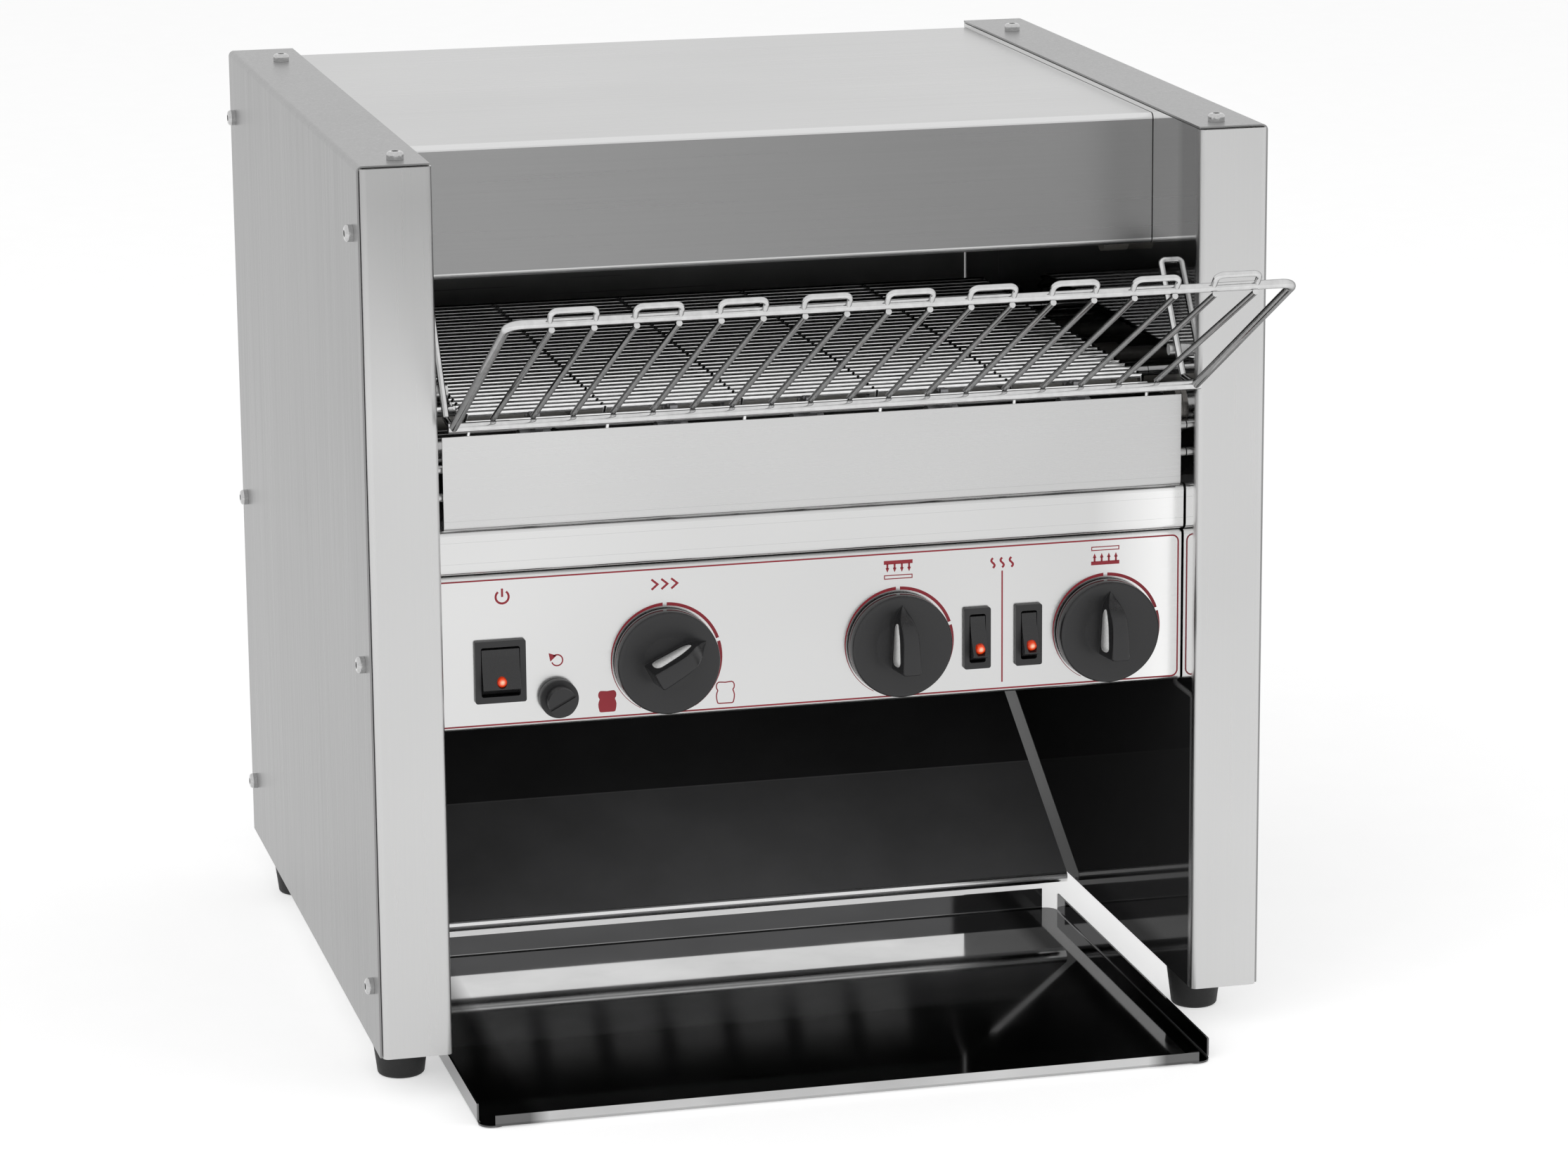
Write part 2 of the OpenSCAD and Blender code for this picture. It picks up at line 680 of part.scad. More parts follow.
// Sprocket whose notches leave room for the belt wires
module belt_sprocket() {
  hub_r = sprocket_r - belt_wire_d / 2 - 0.5;
  tip_r = sprocket_r + 0.8;
  half_root = belt_chord / 2 - belt_wire_d / 2 - 0.5;
  along_x(-sprocket_t / 2, sprocket_t / 2) difference() {
    union() {
      circle(hub_r);
      for (i = [0 : sprocket_teeth - 1]) rotate((i + 0.5) * belt_step) polygon([
        [hub_r - 2, -half_root], [tip_r, -1.2], [tip_r, 1.2], [hub_r - 2, half_root]
      ]);
    }
    circle(shaft_d / 2 + 0.02);
  }
  along_x(-8, 8) difference() {
    circle(shaft_d / 2 + 3);
    circle(shaft_d / 2 + 0.02);
  }
}

module drive_sprockets() color(dark_steel) in_frame()
  translate([0, rear_axis_y, shaft_z]) for (x = sprocket_xs) translate([x, 0, 0]) belt_sprocket();

module idler_sprockets() color(dark_steel) in_frame()
  translate([0, front_axis_y, shaft_z]) for (x = sprocket_xs) translate([x, 0, 0]) belt_sprocket();

module drive_shaft() color(steel) in_frame()
  rod_x(chain_x - 8, wall_out_x + 8, rear_axis_y, shaft_z, shaft_d / 2);

module idler_shaft() color(steel) in_frame()
  rod_x(-wall_out_x - 8, wall_out_x + 8, front_axis_y, shaft_z, shaft_d / 2);

// Flanged bushes that carry the two shafts in the walls
module shaft_bushes() color("peru") in_frame()
  for (y = [front_axis_y, rear_axis_y]) both_sides() difference() {
    union() {
      rod_x(wall_x - 3, wall_out_x + 4, y, shaft_z, bush_r);
      rod_x(wall_x - 3, wall_x - 0.1, y, shaft_z, bush_r + 3);
    }
    rod_x(wall_x - 4, wall_out_x + 5, y, shaft_z, shaft_d / 2 + run_gap);
  }

// ---------------------------------------------------------------- heating

module heater_bank(ys, z) for (y = ys) rod_x(-wall_x + 9, wall_x - 9, y, z, heater_d / 2);

module upper_heaters() color("whitesmoke") in_frame() heater_bank(upper_heater_ys, upper_heater_z);

module lower_heaters() color("whitesmoke") in_frame() heater_bank(lower_heater_ys, shaft_z);

// Ceramic holders on the walls that carry the ends of the elements
module heater_holders() color("ivory") in_frame() both_sides() {
  for (y = upper_heater_ys) heater_holder(y, upper_heater_z);
  for (y = lower_heater_ys) heater_holder(y, shaft_z);
}

module heater_holder(y, z) difference() {
  rod_x(wall_x - 14, wall_x, y, z, heater_d / 2 + 3);
  rod_x(wall_x - 15, wall_x - 8.8, y, z, heater_d / 2 + 0.05);
}

// Folded sheet above the upper elements, hung between the hood's hem and the rear panel
module upper_reflector() color(dark_steel) in_frame()
  along_x(-panel_x, panel_x) bent_sheet([
    [hood_y + 10, hood_edge_z + sheet_t * 1.5 + fit_gap],
    [hood_y + 22, hood_edge_z + sheet_t * 1.5 + fit_gap],
    [hood_y + 30, reflector_z],
    [body_d - 20, reflector_z],
    [body_d - 12, reflector_z - 14]
  ]);

// ---------------------------------------------------------------- drive

module gear_motor() color("gray") in_frame() difference() {
  union() {
    rod_x(-panel_x + 2, -panel_x + 40, motor_y, motor_z, 30);
    rod_x(-panel_x + 40, -panel_x + 105, motor_y, motor_z, 26);
    for (a = [45 : 90 : 315])
      rod_x(-wall_x + fit_gap, -panel_x + 4, motor_y + 24 * cos(a), motor_z + 24 * sin(a), 4);
  }
  rod_x(-panel_x - 1, -panel_x + 30, motor_y, motor_z, 5.2);
}

// Roller-chain wheel with a hub on its inner face
module toothed_wheel(teeth, bore_r) {
  pitch_r = chain_pitch / (2 * sin(180 / teeth));
  step = 360 / teeth;
  along_x(-2.4, 2.4) difference() {
    union() {
      circle(pitch_r - 3.4);
      for (i = [0 : teeth - 1]) rotate((i + 0.5) * step) polygon([
        [pitch_r - 5, -pitch_r * sin(step / 2) + 2.9],
        [pitch_r + 2.2, -0.8], [pitch_r + 2.2, 0.8],
        [pitch_r - 5, pitch_r * sin(step / 2) - 2.9]
      ]);
    }
    circle(bore_r);
  }
}

function wheel_r(teeth) = chain_pitch / (2 * sin(180 / teeth));

module chain_wheel() color("gray") in_frame() {
  translate([chain_x, rear_axis_y, shaft_z]) toothed_wheel(chain_wheel_teeth, shaft_d / 2 + 0.02);
  difference() {
    rod_x(chain_x + 2, chain_x + 7, rear_axis_y, shaft_z, 11);
    rod_x(chain_x + 1, chain_x + 8, rear_axis_y, shaft_z, shaft_d / 2 + 0.02);
  }
}

// Small wheel with the gear motor's output spindle
module motor_sprocket() color("gray") in_frame() {
  translate([chain_x, motor_y, motor_z]) toothed_wheel(motor_teeth, 4);
  rod_x(chain_x - 5, -panel_x + 28, motor_y, motor_z, 5);
}

// Closed loop of chain: a band of plates on each side of the wheels, joined by pins
module drive_chain() {
  big_r = wheel_r(chain_wheel_teeth);
  small_r = wheel_r(motor_teeth);
  span = [rear_axis_y - motor_y, shaft_z - motor_z];
  tilt = atan2(span[1], span[0]);
  lean = asin((big_r - small_r) / norm(span));
  run = sqrt(norm(span) ^ 2 - (big_r - small_r) ^ 2);
  links = floor(run / chain_pitch);
  color("gray") in_frame() translate([chain_x, motor_y, motor_z]) {
    for (x = [-4.6, 3.2]) along_x(x, x + 1.4) rotate(tilt) difference() {
      chain_outline(small_r + 3.6, big_r + 3.6, norm(span), lean);
      chain_outline(small_r - 3.6, big_r - 3.6, norm(span), lean);
    }
    rotate([tilt, 0, 0]) for (side = [-1, 1], i = [2 : links - 2]) {
      start = small_r * [sin(-lean), side * cos(lean)];
      way = [cos(lean), side * sin(lean)];
      p = start + (run / links) * i * way;
      rod_x(-4, 4, p[0], p[1], 1.6);
    }
  }
}

module chain_outline(r0, r1, span, lean) {
  circle(r0);
  translate([span, 0]) circle(r1);
  polygon([
    r0 * [-sin(lean), cos(lean)], [span, 0] + r1 * [-sin(lean), cos(lean)],
    [span, 0] + r1 * [-sin(lean), -cos(lean)], r0 * [-sin(lean), -cos(lean)]
  ]);
}

// ---------------------------------------------------------------- knobs

disc_y0 = fascia_y - knob_gap;
disc_y1 = disc_y0 - knob_t;

grip_w = 9.3;
grip_tail = 0.25 * knob_d;
grip_tip = 0.375 * knob_d;

// Outline of a grip: straight flanks from its tail, drawn in to a point like an arch
grip_outline = [
  for (side = [1, -1]) each let (
    half = [[0.85, -1], [1, -0.94], [1, 0], [0.91, 0.39], [0.74, 0.66], [0.52, 0.83], [0.26, 0.955], [0.05, 1]]
  ) [for (p = side > 0 ? half : reversed(half))
      [side * p[0] * grip_w / 2, p[1] * (p[1] < 0 ? grip_tail : grip_tip)]]
];

// Back of a grip seen from the side: highest at its tail and falling to its point
grip_profile = concat(
  [[-grip_tail - 1, knob_t - 2], [-grip_tail - 1, knob_t + grip_h]],
  [for (p = [[0, 0.92], [0.25, 0.87], [0.5, 0.76], [0.68, 0.61], [0.85, 0.47], [1.02, 0.25]])
    [p[0] * grip_tip, knob_t + p[1] * grip_h]],
  [[1.02 * grip_tip, knob_t - 2]]
);

// Round disc, slightly hollow in the middle, with a tall pointed grip
module knob(x, turn = 0) translate([x, disc_y0, control_z]) rotate([90, turn, 0]) difference() {
  union() {
    rotate_extrude() polygon(concat(
      [[0, 0], [knob_d / 2, 0]],
      [for (a = [0 : 15 : 90]) [knob_d / 2 - 2.5 + 2.5 * cos(a), knob_t - 2.5 + 2.5 * sin(a)]],
      [[knob_d / 4, knob_t], [knob_d / 4 - 1, knob_t - 1.2], [0, knob_t - 1.2]]
    ));
    intersection() {
      along_x(-grip_w, grip_w) polygon(grip_profile);
      along_z(0, knob_t + grip_h + 1) polygon(grip_outline);
    }
  }
  translate([0, 0, -1]) cylinder(d = spindle_d + 0.04, h = 12);
}

speed_turn = 62;

module speed_knob() color(plastic) in_frame() knob(knob_xs[0], speed_turn);
module upper_heat_knob() color(plastic) in_frame() knob(knob_xs[1]);
module lower_heat_knob() color(plastic) in_frame() knob(knob_xs[2]);

// Control behind the fascia, with the hole that its spindle turns in
module control_body(x, size) in_frame() difference() {
  union() {
    rod_y(control_y0, control_y0 + 4, x, control_z, 8);
    translate([x - size[0] / 2, control_y0 + 4 - weld, control_z - size[2] / 2]) cube(size);
  }
  rod_y(control_y0 - 1, control_y0 + 16, x, control_z, spindle_d / 2 + run_gap);
}

module spindle(x) color(steel) in_frame()
  rod_y(disc_y0 - knob_t, control_y0 + 15, x, control_z, spindle_d / 2);

control_y0 = fascia_y + sheet_t + 0.1;

module speed_spindle() spindle(knob_xs[0]);
module upper_heat_spindle() spindle(knob_xs[1]);
module lower_heat_spindle() spindle(knob_xs[2]);
module speed_controller() color("tan") control_body(knob_xs[0], [34, 22, 34]);
module upper_heat_regulator() color("tan") control_body(knob_xs[1], [42, 36, 40]);
module lower_heat_regulator() color("tan") control_body(knob_xs[2], [42, 36, 40]);

// ---------------------------------------------------------------- switches

// Snap-in housing with a bezel, a pocket for the rocker and its two pivot pins
module switch_body(x, size, rocker) in_frame() translate([x, fascia_y, control_z]) {
  pocket = [rocker[0] + 0.8, rocker[1] + 1.2];
  difference() {
    union() {
      rotate([90, 0, 0]) along_z(0.05, bezel_t) rounded_rect(size[0], size[1], 1.2);
      translate([-size[0] / 2 + switch_body_inset, -weld, -size[1] / 2 + 1.4])
        cube([size[0] - 2 * switch_body_inset, switch_depth, size[1] - 2.8]);
      for (i = [-1, 1]) translate([0, switch_depth - 1, i * 7]) cube([4.8, 16, 0.8], center = true);
    }
    rotate([90, 0, 0]) along_z(-pocket_depth, bezel_t + 1) rounded_rect(pocket[0], pocket[1], 1.2);
  }
  both_sides() rod_x(rocker[0] / 2 - 0.5, pocket[0] / 2 + weld, rocker_axis_y, 0, pivot_r - 0.1);
}

pocket_depth = 10.5;
// Depth of a rocker's pivot behind the fascia's front, and the radius of its dimples
rocker_axis_y = 4;
pivot_r = 1.2;
// Height of a rocker's lamp relative to its pivot
lens_z = -4.9;
lens_sink = 2.2;

module at_rocker(x) in_frame() translate([x, fascia_y + rocker_axis_y, control_z]) children();

// Heights of the upper and lower ends of a rocker's face, and the depth of the face,
// which curves out towards its lower end
function face_top(size) = size[1] / 2 - 0.7;
function face_low(size) = -size[1] / 2 + 4.1;
function face_y(z, size, out) =
  -rocker_axis_y - bezel_t + 0.2 - out * ((face_top(size) - z) / (face_top(size) - face_low(size))) ^ 1.7;

module at_lens(size, out) {
  slope = atan2(face_y(lens_z - 1, size, out) - face_y(lens_z + 1, size, out), -2);
  translate([0, face_y(lens_z, size, out), lens_z]) rotate([slope - 180, 0, 0]) rotate([90, 0, 0]) children();
}

// Rocker with a curved face, tipped so that its lower half stands out
module rocker(x, size, out) at_rocker(x) difference() {
  along_x(-size[0] / 2, size[0] / 2) polygon(concat(
    [for (k = [0 : 6]) let (z = face_top(size) + k / 6 * (face_low(size) - face_top(size)))
      [face_y(z, size, out), z]],
    [[-4.5, -size[1] / 2 + 0.5], [-1, -size[1] / 2], [4.5, -3], [4.5, 3], [-1, size[1] / 2]]
  ));
  at_lens(size, out) translate([0, 0, -lens_sink]) cylinder(d = lamp_d, h = lens_sink + 3);
  both_sides() rod_x(size[0] / 2 - 0.6, size[0] / 2 + 1, 0, 0, pivot_r);
}

// Round lens with a domed front
module lamp(x, size, out) color("orangered") at_rocker(x) at_lens(size, out)
  rotate_extrude() polygon(concat(
    [[0, 0.02 - lens_sink], [lamp_d / 2 - 0.02, 0.02 - lens_sink]],
    [for (a = [0 : 15 : 75]) [(lamp_d / 2 - 0.02) * cos(a), 0.3 + 1.2 * sin(a)]],
    [[0, 0.3 + 1.2 * sin(75)]]
  ));

upper_switch_x = heating_x - heat_switch_offset;
lower_switch_x = heating_x + heat_switch_offset;

module power_switch_body() color(plastic) switch_body(power_x, wide_switch, wide_rocker);
module power_rocker() color(plastic) rocker(power_x, wide_rocker, wide_rocker_out);
module power_lamp() lamp(power_x, wide_rocker, wide_rocker_out);
module upper_heat_switch_body() color(plastic) switch_body(upper_switch_x, narrow_switch, narrow_rocker);
module upper_heat_rocker() color(plastic) rocker(upper_switch_x, narrow_rocker, narrow_rocker_out);
module upper_heat_lamp() lamp(upper_switch_x, narrow_rocker, narrow_rocker_out);
module lower_heat_switch_body() color(plastic) switch_body(lower_switch_x, narrow_switch, narrow_rocker);
module lower_heat_rocker() color(plastic) rocker(lower_switch_x, narrow_rocker, narrow_rocker_out);
module lower_heat_lamp() lamp(lower_switch_x, narrow_rocker, narrow_rocker_out);

// ---------------------------------------------------------------- safety cut-out

// Thermostat whose threaded neck passes the fascia, with a hole for its button
module safety_thermostat() color("tan") in_frame() difference() {
  union() {
    rod_y(fascia_y - 7, fascia_y + sheet_t + 3, reset_x, reset_z, 5);
    rod_y(fascia_y + sheet_t + 0.1, fascia_y + sheet_t + 20, reset_x, reset_z, 11);
  }
  rod_y(fascia_y - 8, fascia_y + sheet_t + 8, reset_x, reset_z, 2.2);
}

module reset_button() color("crimson") in_frame()
  rod_y(fascia_y - 8.5, fascia_y + sheet_t + 5, reset_x, reset_z, 2.1);

// Screwed cap over the button: flange, smaller grip and a slot for a coin
module reset_cap() color(plastic) in_frame() translate([reset_x, fascia_y - 0.2, reset_z])
  rotate([90, 0, 0]) difference() {
    union() {
      cylinder(d = reset_d, h = 5);
      cylinder(d = reset_d * 0.74, h = 13);
    }
    translate([0, 0, -1]) cylinder(r = 5 + run_gap, h = 10.5);
    rotate(28) translate([0, 0, 13]) cube([reset_d, 1.6, 2.4], center = true);
  }

// ---------------------------------------------------------------- fan

fan_z = fascia_z + 2 * sheet_t + 2 * fit_gap;

module fan_frame() color(plastic) in_frame() translate([fan_at[0], fan_at[1], fan_z]) {
  linear_extrude(25) difference() {
    rounded_rect(92, 92, 5);
    circle(44);
  }
  translate([0, 0, 22]) linear_extrude(3) {
    circle(18);
    for (a = [30 : 120 : 270]) rotate(a) translate([10, -2.5]) square([35, 5]);
  }
}

// Hub with seven pitched blades
module fan_impeller() color(plastic) in_frame() translate([fan_at[0], fan_at[1], fan_z]) {
  translate([0, 0, 3]) cylinder(r = 18, h = 18.8);
  for (i = [0 : 6]) rotate(i * 360 / 7) translate([17, 0, 12]) rotate([38, 0, 0])
    translate([0, -11, -0.8]) cube([25, 22, 1.6]);
}

// ---------------------------------------------------------------- small fittings

// Tapered foot with a rounded lower edge and a recess for its bolt
module rubber_foot() rotate_extrude() polygon(concat(
  [[foot_bolt_d / 2 + 0.1, foot_h - 0.1], [foot_top_r, foot_h - 0.1]],
  [for (a = [0 : -15 : -90])
    [foot_bottom_r - foot_round_r * (1 - cos(a)), foot_round_r * (1 + sin(a))]],
  [[foot_bolt_washer_r + 0.5, 0], [foot_bolt_washer_r + 0.5, 9], [foot_bolt_d / 2 + 0.1, 9]]
));

module at_feet() for (x = [-side_mid_x, side_mid_x], y = foot_ys) translate([x, y, 0]) children();

module rubber_feet() color(plastic) in_frame() at_feet() rubber_foot();

module foot_bolts() color(steel) in_frame() at_feet() {
  translate([0, 0, 5]) cylinder(r = foot_bolt_washer_r, h = 3.9);
  translate([0, 0, 5]) cylinder(d = foot_bolt_d, h = foot_h + 6);
}

screw_r = 4.4;
screw_h = 4.2;
screw_hole_r = 2.2;

// Button-head screw: domed head with a socket, and a shank through the cover into the frame
module screw() difference() {
  union() {
    rotate_extrude() polygon(concat(
      [[0, 0.05], [screw_r, 0.05], [screw_r, 2.4]],
      [for (a = [15 : 15 : 75]) [screw_r - 1.8 + 1.8 * cos(a), 2.4 + 1.8 * sin(a)]],
      [[screw_r - 2, screw_h], [0, screw_h]]
    ));
    translate([0, 0, -6]) cylinder(r = screw_hole_r - 0.1, h = 6.2);
  }
  translate([0, 0, screw_h - 2]) cylinder(r = 2, h = 3, $fn = 6);
}

cover_screw_zs = [foot_h + 34, foot_h + 205, body_h - 36];

// Places of one cover's screws, with +Z pointing out of the cover
module at_cover_screws() {
  for (y = [20, body_d - 52]) translate([wall_x + side_w * 0.4, y, body_h]) children();
  for (z = cover_screw_zs, y = [20, body_d - 18])
    translate([body_w / 2, y, z]) rotate([0, 90, 0]) children();
}

module cover_screws() color("silver") in_frame() both_sides() at_cover_screws() screw();

// Gland in the rear flange of the left side compartment
module cable_gland() color(plastic) in_frame() translate([-side_mid_x, body_d, foot_h + 40])
  rotate([-90, 0, 0]) difference() {
    union() {
      translate([0, 0, -sheet_t - 10]) cylinder(r = gland_hole_r - 0.1, h = 12);
      translate([0, 0, 0.1]) cylinder(r = 13, h = 5, $fn = 6);
      translate([0, 0, 0.1]) cylinder(r = 10.5, h = gland_len - 0.1);
    }
    translate([0, 0, -20]) cylinder(r = 5, h = 40);
  }

// ---------------------------------------------------------------- output

side_frame_left();
side_frame_right();
side_cover_left();
side_cover_right();
hood();
rear_panel();
apron();
ledge();
control_fascia();
control_box();
deck_plate();
return_chute();
collecting_tray();
loading_rack();
rack_hooks();
belt_upper_run();
belt_lower_run();
belt_front_bend();
belt_rear_bend();
belt_support_rails();
drive_shaft();
drive_sprockets();
idler_shaft();
idler_sprockets();
shaft_bushes();
upper_heaters();
lower_heaters();
heater_holders();
upper_reflector();
gear_motor();
motor_sprocket();
chain_wheel();
drive_chain();
speed_knob();
upper_heat_knob();
lower_heat_knob();
speed_spindle();
upper_heat_spindle();
lower_heat_spindle();
speed_controller();
upper_heat_regulator();
lower_heat_regulator();
power_switch_body();
power_rocker();
power_lamp();
upper_heat_switch_body();
upper_heat_rocker();
upper_heat_lamp();
lower_heat_switch_body();
lower_heat_rocker();
lower_heat_lamp();
safety_thermostat();
reset_button();
reset_cap();
fan_frame();
fan_impeller();
rubber_feet();
foot_bolts();
cover_screws();
cable_gland();
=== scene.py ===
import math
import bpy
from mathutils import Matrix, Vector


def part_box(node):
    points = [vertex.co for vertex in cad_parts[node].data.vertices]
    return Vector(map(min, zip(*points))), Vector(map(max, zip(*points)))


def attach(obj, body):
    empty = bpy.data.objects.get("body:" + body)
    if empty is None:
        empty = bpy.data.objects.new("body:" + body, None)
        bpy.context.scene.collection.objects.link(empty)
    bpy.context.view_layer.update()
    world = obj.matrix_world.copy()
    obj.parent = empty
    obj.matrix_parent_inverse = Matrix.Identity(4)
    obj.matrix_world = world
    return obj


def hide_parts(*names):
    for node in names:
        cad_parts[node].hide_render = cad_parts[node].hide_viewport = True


bl_info = {
    "name": "Conveyor toaster finish",
    "version": (1, 0, 0),
    "blender": (4, 5, 0),
    "location": "View3D > Sidebar > Toaster",
    "description": "Finishes, dials, printed panel and studio for a conveyor toaster",
    "category": "Object",
}

import bmesh
import bpy
from bpy.props import FloatProperty, FloatVectorProperty, IntProperty, PointerProperty
from bpy.types import Operator, Panel, PropertyGroup
from mathutils import Matrix, Vector

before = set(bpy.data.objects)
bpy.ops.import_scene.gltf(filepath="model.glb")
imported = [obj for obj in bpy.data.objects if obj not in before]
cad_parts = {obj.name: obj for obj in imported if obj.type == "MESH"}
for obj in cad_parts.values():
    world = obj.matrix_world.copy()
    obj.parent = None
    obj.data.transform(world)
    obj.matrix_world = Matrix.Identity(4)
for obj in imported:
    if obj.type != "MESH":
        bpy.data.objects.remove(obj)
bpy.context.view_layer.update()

MM = 0.001


def middle(node):
    """Centre of a node's box at rest."""
    low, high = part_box(node)
    return (low + high) / 2


# ------------------------------------------------------------------ settings


def length(name, description, default):
    return FloatProperty(
        name=name, description=description, default=default, min=0.0, unit="LENGTH", precision=5
    )


def share(name, description, default):
    return FloatProperty(
        name=name, description=description, default=default, min=0.0, max=1.0, subtype="FACTOR"
    )


def colour(name, description, default):
    return FloatVectorProperty(
        name=name, description=description, default=default, size=3, min=0.0, max=1.0, subtype="COLOR"
    )


class ToasterSteel(PropertyGroup):
    """Finish of the sheet steel, with the light, shade and highlights painted on it"""

    casing: colour("Casing", "Brushed steel of the posts", (0.60, 0.60, 0.598))
    # Painted shade: the side covers are the same brushed steel as the posts, darkened
    cover: colour("Side covers", "Brushed steel of the side covers", (0.285, 0.285, 0.285))
    roof: colour("Roof", "Level top of the top cover", (0.53, 0.53, 0.528))
    # Painted shade: the hood's front is the same sheet as the roof, darker because of how the light falls
    # on it
    hood_front_shade: colour("Hood front", "Upright front of the top cover", (0.29, 0.29, 0.29))
    apron: colour("Apron", "Apron under the rack", (0.59, 0.59, 0.588))
    panel: colour("Panels", "Ledge and control fascia", (0.65, 0.65, 0.647))
    # Painted shade: the polished inner sheet is darkened to stand for the shade inside the toaster
    mirror: colour("Mirror sheet", "Polished sheet inside the toaster", (0.28, 0.28, 0.285))
    # Painted shade: a near-black colour for walls, flanges, plates and the chute that lie in shade
    painted_shade: colour("Painted shade tone", "Walls and back of the lower bay", (0.12, 0.12, 0.122))
    tray: colour("Tray", "Polished collecting tray", (0.62, 0.62, 0.62))
    # Painted highlight: the colour of the bends and the cut edges of the sheets
    fold_highlight: colour("Folds", "Bends and cut edges of the sheets", (0.72, 0.72, 0.72))
    roughness: share("Brushed roughness", "Roughness of the brushed steel", 0.30)


class ToasterWire(PropertyGroup):
    """Finish of the wires and working parts"""

    chrome: colour("Wire", "Bright wire of the rack and the belt", (0.66, 0.66, 0.66))
    roughness: share("Wire roughness", "Roughness of the bright wire", 0.06)


class ToasterDials(PropertyGroup):
    """Shape of the control knobs"""

    grip_width: length("Grip width", "Width of a grip's face at its tail", 0.0097)
    grip_height: length("Grip height", "Height of a grip above its disc", 0.0206)
    grip_tip: length("Grip tip", "Distance of the grip's tip from the middle", 0.0222)
    disc_thickness: length("Disc thickness", "Thickness of a knob's disc", 0.0085)
    inlay: colour("Inlay", "White leaf on the grip's flank", (0.95, 0.95, 0.94))
    moulding: colour("Moulding", "Black plastic of knobs and switches", (0.018, 0.018, 0.019))


class ToasterPrint(PropertyGroup):
    """Print on the control fascia"""

    ink: colour("Ink", "Dark red ink", (0.36, 0.020, 0.034))
    line: length("Line", "Width of the border line", 0.0008)
    scale_start: length("Scale start", "Width of a dial's scale at its thin end", 0.0003)
    scale_end: length("Scale end", "Width of a dial's scale at its thick end", 0.0017)
    scale_radius: length("Scale radius", "Inner radius of a dial's scale", 0.0282)


class ToasterStudio(PropertyGroup):
    """Studio around the toaster"""

    lens: FloatProperty(
        name="Lens", description="Focal length", default=119.75, unit="CAMERA", min=10.0
    )
    key_power: FloatProperty(
        name="Key light", description="Power of the large key light", default=46.0, unit="POWER", min=0.0
    )
    fill_power: FloatProperty(
        name="Fill light", description="Power of the fill light", default=17.0, unit="POWER", min=0.0
    )
    ambient: share("Ambient", "Strength of the surroundings on matt surfaces", 0.50)
    dial_segments: IntProperty(
        name="Segments", description="Segments round a turned piece", default=96, min=24, max=256
    )


# ------------------------------------------------------------------ node helpers


class Tree:
    """Short way to build a node tree."""

    def __init__(self, tree):
        self.nodes, self.links = tree.nodes, tree.links

    def add(self, kind, *inputs, **settings):
        """Adds a node; inputs are its values or links in socket order, None to leave one."""
        node = self.nodes.new(kind)
        for name, value in settings.items():
            setattr(node, name, value)
        for i, value in enumerate(inputs):
            self.plug(node.inputs[i], value)
        return node

    def plug(self, socket, value):
        """Links a socket to another, or sets its value."""
        if isinstance(value, bpy.types.NodeSocket):
            self.links.new(value, socket)
        elif value is not None:
            socket.default_value = value

    def math(self, operation, a, b=None, clamp=False):
        return self.add("ShaderNodeMath", a, b, operation=operation, use_clamp=clamp).outputs[0]

    def mix(self, factor, a, b, blend="MIX"):
        """Mix of two colours."""
        node = self.add("ShaderNodeMix", data_type="RGBA", blend_type=blend)
        for socket, value in zip((node.inputs[0], node.inputs[6], node.inputs[7]), (factor, a, b)):
            self.plug(socket, value)
        return node.outputs[2]

    def tint(self, colour, tone):
        """A colour multiplied by a tone."""
        return self.mix(1.0, colour, tone, "MULTIPLY")

    def blend(self, factor, a, b):
        """Straight blend of two numbers."""
        node = self.add("ShaderNodeMix", data_type="FLOAT")
        for socket, value in zip((node.inputs[0], node.inputs[2], node.inputs[3]), (factor, a, b)):
            self.plug(socket, value)
        return node.outputs[0]

    def ramp(self, value, low, high, to_low=0.0, to_high=1.0):
        """Straight ramp from low..high to to_low..to_high, held at its ends."""
        return self.add("ShaderNodeMapRange", value, low, high, to_low, to_high, clamp=True).outputs[0]

    def dot(self, a, b):
        return self.add("ShaderNodeVectorMath", a, b, operation="DOT_PRODUCT").outputs["Value"]

    def split(self, vector):
        """The x, y and z of a vector."""
        return self.add("ShaderNodeSeparateXYZ", vector).outputs

    def place(self):
        """Place on the piece, in the frame of the whole toaster."""
        return self.add("ShaderNodeTexCoord").outputs["Object"]

    def facing(self, kind="True Normal"):
        """Direction that the surface faces."""
        return self.add("ShaderNodeNewGeometry").outputs[kind]


def rgba(c, level=1.0):
    """Colour of a setting, made lighter or darker by level."""
    return (c[0] * level, c[1] * level, c[2] * level, 1.0)


def node_group(name, inputs, outputs, build):
    """Makes a shader node group once; inputs and outputs are (name, socket type, default)."""
    if name in bpy.data.node_groups:
        return bpy.data.node_groups[name]
    group = bpy.data.node_groups.new(name, "ShaderNodeTree")
    for direction, sockets in (("INPUT", inputs), ("OUTPUT", outputs)):
        for socket_name, kind, default in sockets:
            made = group.interface.new_socket(name=socket_name, in_out=direction, socket_type=kind)
            if default is not None:
                made.default_value = default
    tree = Tree(group)
    start = tree.nodes.new("NodeGroupInput")
    end = tree.nodes.new("NodeGroupOutput")
    for socket_name, value in build(tree, start.outputs).items():
        tree.plug(end.inputs[socket_name], value)
    return group


FLOAT, VECTOR = "NodeSocketFloat", "NodeSocketVector"


